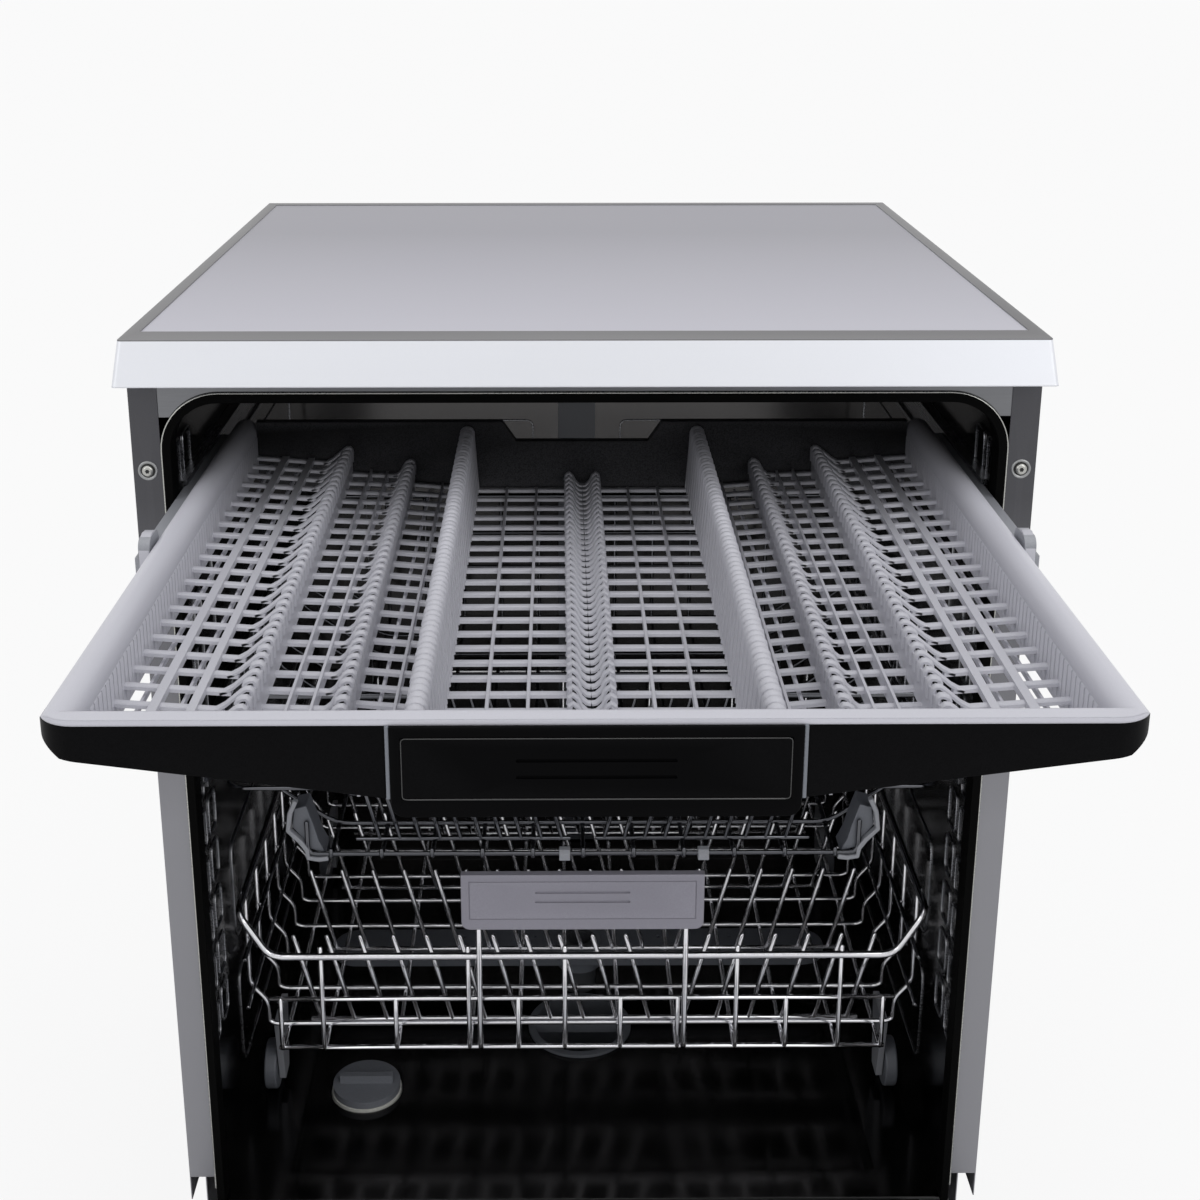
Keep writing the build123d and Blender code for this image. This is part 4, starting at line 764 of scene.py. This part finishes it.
panel(
    "tray_grip_panel", "tray_black", "cutlery_tray", "tray_grip", grip_half, grip_foot, grip_top,
    grip_front, grip_back, [(731, 37.2), (722.6, 37.2)], (90, 711.2, 742.6),
)
glint = [(x, grip_front - 0.05, z) for x, z in (
    (-glint_half, glint_foot), (glint_half, glint_foot), (glint_half, glint_top),
    (-glint_half, glint_top),
)]
lower_glint = [(x, grip_front - 0.1, glint_foot) for x in (-grip_lip_half, grip_lip_half)]
wires(
    "tray_grip_outline", [(bent(glint, 2, True), 0.3, True), (lower_glint, 0.42, False)],
    "tray_black", "cutlery_tray", look="window_glass",
)
grip_ribs = Form()
for side in (-1, 1):
    grip_ribs.box(
        *span(side, grip_half + 0.1, grip_half + 2), grip_front + 0.8, grip_back, grip_shelf,
        grip_top,
    )
grip_ribs.piece(
    "tray_grip_ribs", "handle_plastic", "cutlery_tray", look="arm_plastic", bevel=0.3
)
grip_lip = Form()
grip_lip.box(
    -grip_lip_half, grip_lip_half, grip_back, grip_lip_rear, grip_lip_foot, grip_lip_top
)
grip_lip.piece("tray_grip_lip", "tray_black", "cutlery_tray", bevel=0.8)

clip_section = [
    (-112.4, 722), (-112.4, 745), (-108.5, 751), (-102, 753.4), (-95, 752.4), (-89.5, 748),
    (-87.6, 742), (-87.6, 722), (-92, 722), (-92, 741), (-97, 746.5), (-103, 746.5), (-107, 741),
    (-107, 722),
]
for side in (-1, 1):
    clip = Form()
    clip.along_x(clip_section, *span(side, 259.6, 266.0))
    clip.piece(
        "tray_clip_" + side_name(side), "tray_plastic", "cutlery_tray", look="tray_insert",
        bevel=0.6,
    )


# Lower basket

lower_wire_r, lower_rim_r, handle_wire_r = 2.0, 3.0, 2.2
cross_z, length_z, tine_base, tine_height = 255, 252.3, 259.3, 76
lower_front, lower_back, front_wire_y = 82, 529, 84.3
lower_rows = (86, 117, 165, 211, 257, 298, 339, 385, 430, 475, 525)
lower_columns = (-203, -146, -88.6, -50, -13.5, 30, 75, 120.6, 160, 201.6, 236, -236)
tall_front_columns = (-203, -88.6, -13.5, 120.6, 201.6)
rim_half, rim_z, rim_dip_half, rim_dip_z = 264.5, 378, 242, 340
side_wire_half, side_wire_heights = 261.8, (292, 335)
tine_pitch, tine_lean = 26.4, 19.4
left_tines, right_tines = (-209.6, 11), (82, 6)
front_tine_row, rear_tine_row, fixed_tine_rows = 117, 215, (313, 411)


def lower_hoop(y):
    half = [
        (-265.6, y, 376), (-265.6, y, 292), (-252, y, 276), (-252, y, cross_z + 2.5),
        (-246, y, cross_z),
    ]
    return bent(half + mirrored(half)[::-1], 7), lower_wire_r, False


def tines(y):
    """One row of leaning tines on its cross wire."""
    made = [([(-217, y, tine_base), (222, y, tine_base)], lower_wire_r, False)]
    for (first, count), lean in ((left_tines, -tine_lean), (right_tines, tine_lean)):
        for k in range(count):
            x = first + tine_pitch * k
            path = [(x, y, tine_base), (x + lean, y, tine_base + tine_height)]
            made.append((path, lower_wire_r, False))
    return made


paths = [lower_hoop(y) for y in lower_rows[1:-1]]
for y in (lower_rows[0], lower_rows[-1]):
    paths.append(([(-238, y, cross_z), (238, y, cross_z)], lower_wire_r, False))
for x in lower_columns:
    top = 346 if x in tall_front_columns else 300
    column = [
        (x, front_wire_y, top), (x, front_wire_y, length_z), (x, 526.5, length_z), (x, 526.5, 379),
    ]
    paths.append((bent(column, 8), lower_wire_r, False))
rim = [
    (-rim_dip_half, lower_front, rim_dip_z), (rim_dip_half, lower_front, rim_dip_z),
    (rim_half, lower_front, rim_z), (rim_half, lower_back, rim_z),
    (-rim_half, lower_back, rim_z), (-rim_half, lower_front, rim_z),
]
paths.append((bent(rim, 11, True, 5), lower_rim_r, True))
for z in side_wire_heights:
    around = [
        (-side_wire_half, 86, z), (-side_wire_half, 526, z), (side_wire_half, 526, z),
        (side_wire_half, 86, z),
    ]
    paths.append((bent(around, 9), lower_wire_r, False))
paths.append(([(-244, 85, 300), (244, 85, 300)], lower_wire_r, False))
for y in fixed_tine_rows:
    paths += tines(y)
wires("lower_basket_bent_wires", paths, "basket_wire", "lower_basket", ["lower_basket_wires"])
wires("front_tine_wires", tines(front_tine_row), "rack_wire", "front_tines", ["tine_row_front"])
wires("rear_tine_wires", tines(rear_tine_row), "rack_wire", "rear_tines", ["tine_row_rear"])
uprights = []
for x in (-79.5, 79.5):
    path = [(x, front_wire_y, 256), (x, 76.6, 262), (x, 76.6, 409)]
    uprights.append((bent(path, 5), handle_wire_r, False))
wires("lower_handle_wires", uprights, "basket_wire", "lower_basket")
panel(
    "lower_handle_panel", "handle_plastic", "lower_basket", "lower_basket_handle", 92, 372, 419,
    68, 74.3, [(404, 36), (396, 36)], (86, 381, 413.5),
)


# Upper basket, its corner brackets and clips, and the cup rack

upper_wire_r, upper_rim_r = 1.75, 2.5
upper_half, upper_front, upper_back = 259.2, 46.8, 498.2
upper_cross_z, upper_length_z, upper_rim_z = 450.2, 447.6, 577
upper_tine_base, upper_tine_top, upper_tine_rows = 452.5, 511, (64.7, 196.7)
upper_tine_count, upper_tine_start, upper_tine_pitch, upper_tine_lean = 10, 15.75, 15, 15.5


def upper_hoop(y):
    half = [(-upper_half, y, upper_rim_z), (-upper_half, y, 502), (-187, y, upper_cross_z)]
    return bent(half + mirrored(half)[::-1], 12), upper_wire_r, False


paths = [upper_hoop(y) for y in spread(upper_front, upper_back, 45)[1:]]
front_wire = [
    (-202, upper_front, 476), (-202, upper_front, upper_cross_z),
    (202, upper_front, upper_cross_z), (202, upper_front, 476),
]
paths.append((bent(front_wire, 7), upper_wire_r, False))
for x in spread(-185, 185, 37):
    y0, y1 = upper_front - 1, upper_back + 1
    run = [(x, y0, 454), (x, y0, upper_length_z), (x, y1, upper_length_z), (x, y1, 574)]
    paths.append((bent(run, 7), upper_wire_r, False))
for z, radius in ((upper_rim_z, upper_rim_r), (539, upper_wire_r), (504, upper_wire_r)):
    wide = upper_half - radius + 1.5
    around = [
        (-wide, upper_front, z), (wide, upper_front, z), (wide, upper_back, z),
        (-wide, upper_back, z),
    ]
    paths.append((bent(around, 14, True), radius, True))
for y in upper_tine_rows:
    for side in (-1, 1):
        base = [(side * x, y, upper_tine_base) for x in (10, 168)]
        paths.append((base, upper_wire_r, False))
        for k in range(upper_tine_count):
            x = side * (upper_tine_start + upper_tine_pitch * k)
            tip = (x + side * upper_tine_lean, y, upper_tine_top)
            paths.append(([(x, y, upper_tine_base), tip], upper_wire_r, False))
# The upper basket's wires take the darker wire, painted shade.
wires(
    "upper_basket_bent_wires", paths, "basket_wire", "upper_basket", ["upper_basket_wires"],
    look="shaded_wire",
)

lip_path = [
    (209, 494), (213.5, 484), (215.5, 470), (207, 461), (202.4, 454), (201.6, 447.6),
    (194, 446.4), (187, 447.4),
]
web_outline = [
    (211, 486), (213, 471), (205, 461), (200.6, 453), (189, 449.6), (194, 460), (197, 472),
    (202, 488),
]
lip_thick, lip_front, lip_back, web_front, web_back = 3.6, 44.4, 50, 48.6, 70
for side in (-1, 1):
    lip = Form()
    lip.along_y([(side * x, z) for x, z in strip(lip_path, lip_thick)], lip_front, lip_back)
    lip.piece(
        "upper_corner_bracket_" + side_name(side), "runner_plastic", "upper_basket", bevel=0.8
    )
    web = Form()
    web.along_y([(side * x, z) for x, z in web_outline], web_front, web_back)
    web.piece(
        "upper_corner_web_" + side_name(side), "runner_plastic", "upper_basket",
        look="duct_plastic", bevel=0.8,
    )
wire_clip = [
    (42.8, 446), (42.8, 451), (45.5, 453.6), (50.5, 453.6), (52, 450), (52, 446), (49, 445.2),
]
half_clip = 4
for x in (-13.6, 88.3):
    clip = Form()
    clip.along_x(wire_clip, x - half_clip, x + half_clip)
    clip.piece("front_wire_clip_" + side_name(x), "runner_plastic", "upper_basket", bevel=0.5)

rack_pivot_r, rack_frame_r, rack_wire_r = 2.4, 1.5, 1.4
rack_x, rack_front, rack_back, rack_foot, rack_top = 255.7, 100, 430, 521, 600
rack = [([(rack_x - 1, 90, 520), (rack_x - 1, 440, 520)], rack_pivot_r, False)]
rack_frame = [
    (rack_x, rack_front, rack_foot), (rack_x, rack_front, rack_top),
    (rack_x, rack_back, rack_top), (rack_x, rack_back, rack_foot),
]
rack.append((bent(rack_frame, 10), rack_frame_r, False))
for y in spread(rack_front, rack_back, 33)[1:-1]:
    rack.append(([(rack_x, y, rack_foot), (rack_x, y, rack_top)], rack_wire_r, False))
for z in (549, 575):
    rack.append(([(rack_x, rack_front, z), (rack_x, rack_back, z)], rack_wire_r, False))
wires("cup_rack_wires", rack, "rack_wire", "folding_cup_rack", ["cup_rack"])


# The tub's folded front edge, a bright line round the seal in a zinc finish: a painted highlight

mouth_half, mouth_top, mouth_r, mouth_foot, mouth_y, mouth_steps = 275.3, 812.0, 39, 196, -0.9, 12
edge_path = [(mouth_half, mouth_y, mouth_foot)]
for step in range(mouth_steps + 1):
    angle = math.radians(90 * step / mouth_steps)
    x = mouth_half - mouth_r + mouth_r * math.cos(angle)
    edge_path.append((x, mouth_y, mouth_top - mouth_r + mouth_r * math.sin(angle)))
edge_path += mirrored(edge_path)[::-1]
wires("tub_mouth_edge", [(edge_path, 0.95, False)], "tub_steel", "cabinet", look="screw_zinc")


# The two screws in the front flanges: a dimple, a dark ring of painted shade in the gap round the
# head, the head, and its socket as a dark star of painted shade

round_count = 32
lobes, lobe_outer, lobe_inner = 6, 1.6, 1.15
screw_x, screw_z, socket_front, socket_back = 285.5, 760, -2.16, -2.0


def lathe(centre, profile):
    """A round piece about a level axis through the front: profile gives radius and Y."""
    form = Form()
    rings = []
    for radius, y in profile:
        ring = []
        for i in range(round_count):
            angle = 2 * math.pi * i / round_count
            x, z = centre[0] + radius * math.cos(angle), centre[1] + radius * math.sin(angle)
            ring.append((x, y, z))
        rings.append(ring)
    form.skin(rings)
    return form


def star(centre):
    """A six-lobed socket's outline in X and Z."""
    points = []
    for i in range(lobes * 4):
        angle = 2 * math.pi * i / (lobes * 4)
        swell = (lobe_outer - lobe_inner) / 2 * math.cos(angle * lobes)
        radius = (lobe_outer + lobe_inner) / 2 + swell
        points.append((centre[0] + radius * math.cos(angle), centre[1] + radius * math.sin(angle)))
    return points


dimple_profile = [
    (4.6, -0.02), (6.6, -0.02), (6.5, -0.25), (6.0, -0.55), (5.5, -0.55), (5.0, -0.3), (4.6, -0.1),
]
shade_ring_profile = [(3.6, -0.02), (5.0, -0.02), (5.0, -0.12), (3.6, -0.12)]
head_profile = [(3.0, 8.9), (3.8, -0.1), (3.8, -1.0), (3.4, -1.6), (2.6, -2.0), (2.1, -2.1)]
for side in (-1, 1):
    name, spot = side_name(side), (side * screw_x, screw_z)
    lathe(spot, dimple_profile).piece(
        "screw_dimple_" + name, "cabinet_paint", "cabinet", look="hinge_steel"
    )
    lathe(spot, shade_ring_profile).piece(
        "screw_shade_" + name, "cabinet_paint", "cabinet", look="painted_shade_black"
    )
    lathe(spot, head_profile).piece(
        "screw_head_" + name, "screw_zinc", "cabinet", ["flange_screws"] if side < 0 else ()
    )
    socket = Form()
    socket.along_y(star(spot), socket_front, socket_back)
    socket.piece("screw_socket_" + name, "screw_zinc", "cabinet", look="painted_shade_black")


# The tub's pressed ridges, on its side walls and its rear wall

tub_wall, tub_rear = 274.7, 544.7
ridge_r, liner_ridge_r = 0.9, 1.5
rung_columns, half_rung, rung_tall, rung_heights = (34, 66), 11, 30, range(300, 780, 40)
field_front, field_back, fields = 120, 500, ((215, 300), (330, 415), (590, 690))
rear_columns, half_column = (-210, -140, -70, 70, 140, 210), 27
rear_rows = ((610, 640), (752, 790))


def loop(points, corner, radius=ridge_r):
    return bent(points, corner, True, 3), radius, True


def side_ridge(side, y0, y1, z0, z1, corner):
    x = side * tub_wall
    return loop([(x, y0, z0), (x, y1, z0), (x, y1, z1), (x, y0, z1)], corner)


def rear_ridge(x, half, z0, z1, corner):
    corners = ((x - half, z0), (x + half, z0), (x + half, z1), (x - half, z1))
    return loop([(across, tub_rear, z) for across, z in corners], corner)


ridges = []
for side in (-1, 1):
    for y in rung_columns:
        for z in rung_heights:
            ridges.append(side_ridge(side, y - half_rung, y + half_rung, z, z + rung_tall, 6))
    for z0, z1 in fields:
        ridges.append(side_ridge(side, field_front, field_back, z0, z1, 14))
for x in rear_columns:
    for z0, z1 in rear_rows:
        ridges.append(rear_ridge(x, half_column, z0, z1, 7))
for x in (-125, 125):
    ridges.append(rear_ridge(x, 85, 230, 580, 20))
# The ridges take the brighter rail steel against the darker tub steel, a painted highlight along
# them.
wires("tub_pressed_ridges", ridges, "tub_steel", "cabinet", look="rail_steel", sides=2)


# Door: the liner's pressed ridges and the display window

hinge_y, hinge_z = -6, 160
ridge_y, window_front, window_back = 13.6, -30.6, -29.0


def on_door(x, y, z):
    """A point of the closed door, where it lies with the door open."""
    return (x, hinge_y - (z - hinge_z), hinge_z + (y - hinge_y))


def door_ridge(half, z0, z1, corner):
    corners = ((-half, z0), (half, z0), (half, z1), (-half, z1))
    return loop([on_door(x, ridge_y, z) for x, z in corners], corner, liner_ridge_r)


wires(
    "liner_pressed_ridges",
    [
        door_ridge(236, 212, 762, 30), door_ridge(222, 226, 748, 24),
        door_ridge(128, 412, 568, 16),
    ],
    "liner_steel", "door",
)
window = Form()
corners = ((-38.5, 744.5), (58.5, 744.5), (58.5, 769.5), (-38.5, 769.5))
window.along_z(
    [on_door(x, window_front, z)[:2] for x, z in corners],
    on_door(0, window_front, 0)[2], on_door(0, window_back, 0)[2],
)
window.piece("display_window", "fascia_plastic", "door", look="window_glass", bevel=0.4)


# Rear panel: pressed beads

bead_y, bead_foot, bead_top, bead_r, bead_columns = 570, 190, 760, 3.0, (-210, -105, 0, 105, 210)
beads = [
    ([(x, bead_y, bead_foot), (x, bead_y, bead_top)], bead_r, False) for x in bead_columns
]
wires("rear_pressed_beads", beads, "rear_steel", "cabinet", sides=6)


# Door springs, wound, built at one length on the cabinet; the real ones shorten as the door closes

coil_x, coil_y, coil_foot, coil_top = 278.75, 28.0, 54.0, 119.7
coil_r, coil_wire_r, coil_turns, turn_steps = 2.8, 0.7, 16, 12


def coil(side):
    """A wound spring with a straight end above and below."""
    x, steps = side * coil_x, coil_turns * turn_steps
    path = [(x, coil_y, 46.2), (x, coil_y, 50)]
    for i in range(steps + 1):
        angle = 2 * math.pi * i / turn_steps
        path.append((
            x + coil_r * math.cos(angle), coil_y + coil_r * math.sin(angle),
            coil_foot + (coil_top - coil_foot) * i / steps,
        ))
    path += [(x, coil_y, coil_top + 4), (x, coil_y, coil_top + 8)]
    return path, coil_wire_r, False


wound = wire_curve("door_spring_path", [coil(-1), coil(1)])
bpy.context.scene.collection.objects.link(wound)
springs = bpy.data.objects.new("door_spring_coils", evaluated_mesh(wound))
bpy.data.objects.remove(wound)
settle(springs, "spring_steel", "cabinet", ["door_springs"])
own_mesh(springs)


# Floor, world and lamps, in metres and watts

floor_half = 90
floor_glow, world_light, world_seen = 0.84, 0.5, 0.955
white = (1, 1, 1, 1)

floor_look = Nodes(bpy.data.materials.new("pale_floor"))
broad_noise = floor_look.add("TexNoise")
broad_noise.inputs["Scale"].default_value = 3.0
tone = floor_look.ramp(broad_noise.outputs["Fac"], 0.3, 0.7, 0.0, 1.0)
floor_colour = floor_look.mix(tone, srgb(236, 236, 237), srgb(242, 242, 243))
floor_look.link(floor_colour, floor_look.shader.inputs["Base Color"])
floor_look.shader.inputs["Roughness"].default_value = 0.9
floor_look.shader.inputs["Specular IOR Level"].default_value = 0.1
glow = floor_look.add("Emission")
glow.inputs["Strength"].default_value = 1.0
mixed = floor_look.add("MixShader")
floor_look.link(
    floor_look.math("MULTIPLY", floor_look.seen(), floor_glow), mixed.inputs["Fac"]
)
floor_look.link(floor_look.shader.outputs["BSDF"], mixed.inputs[1])
floor_look.link(glow.outputs["Emission"], mixed.inputs[2])
surface = floor_look.tree.nodes["Material Output"].inputs["Surface"]
floor_look.link(mixed.outputs["Shader"], surface)
floor_data = bpy.data.meshes.new("floor")
floor_corners = [(-1, -1), (1, -1), (1, 1), (-1, 1)]
floor_data.from_pydata(
    [(x * floor_half, y * floor_half, 0) for x, y in floor_corners], [], [(0, 1, 2, 3)]
)
floor_data.materials.append(floor_look.owner)
floor = bpy.data.objects.new("floor", floor_data)
bpy.context.scene.collection.objects.link(floor)

studio = Nodes(bpy.data.worlds.new("studio"))
bpy.context.scene.world = studio.owner
gathered, shown = studio.tree.nodes["Background"], studio.add("Background")
for background, strength in ((gathered, world_light), (shown, world_seen)):
    background.inputs["Color"].default_value = white
    background.inputs["Strength"].default_value = strength
choose = studio.add("MixShader")
studio.link(studio.seen(), choose.inputs["Fac"])
studio.link(gathered.outputs["Background"], choose.inputs[1])
studio.link(shown.outputs["Background"], choose.inputs[2])
studio.link(choose.outputs["Shader"], studio.tree.nodes["World Output"].inputs["Surface"])


def lamp(name, place, target, size, power):
    """A lamp of a width and height that looks at a point."""
    data = bpy.data.lights.new(name, "AREA")
    data.shape = "RECTANGLE"
    data.size, data.size_y = size
    data.energy = power
    made = bpy.data.objects.new(name, data)
    bpy.context.scene.collection.objects.link(made)
    made.location = place
    facing = Vector(target) - Vector(place)
    made.rotation_euler = facing.to_track_quat("-Z", "Y").to_euler()


sky_light = bpy.data.lights.new("sky_panel", "SUN")
sky_light.energy = 1.1
sky_light.angle = math.radians(70)
sky = bpy.data.objects.new("sky_panel", sky_light)
bpy.context.scene.collection.objects.link(sky)
sky.rotation_euler = (math.radians(12), math.radians(6), 0.0)
lamp_target = (0.0, 0.0, 0.6)
lamp("front_right", (2.2, -2.6, 2.2), lamp_target, (1.6, 1.6), 16)
lamp("front_left", (-2.4, -2.2, 2.0), lamp_target, (1.4, 1.6), 10)


# Camera, fitted to the photograph: its focal length in the photograph's pixels

focal_pixels, picture_pixels, sensor = 1675, 1200, 36.0
eye = (-16.7, -1045, 1088.7)
tilt, roll = 0.2965, -0.0072

camera_data = bpy.data.cameras.new("camera")
camera = bpy.data.objects.new("camera", camera_data)
bpy.context.scene.collection.objects.link(camera)
camera.location = mm(*eye)
camera.rotation_euler = (math.radians(90) - tilt, 0.0, roll)
camera_data.sensor_width = sensor
camera_data.lens = focal_pixels / picture_pixels * sensor
camera_data.shift_x = 0.024
camera_data.shift_y = -0.12
camera_data.clip_end = 100.0
bpy.context.scene.camera = camera
bpy.context.scene.view_settings.view_transform = "Standard"
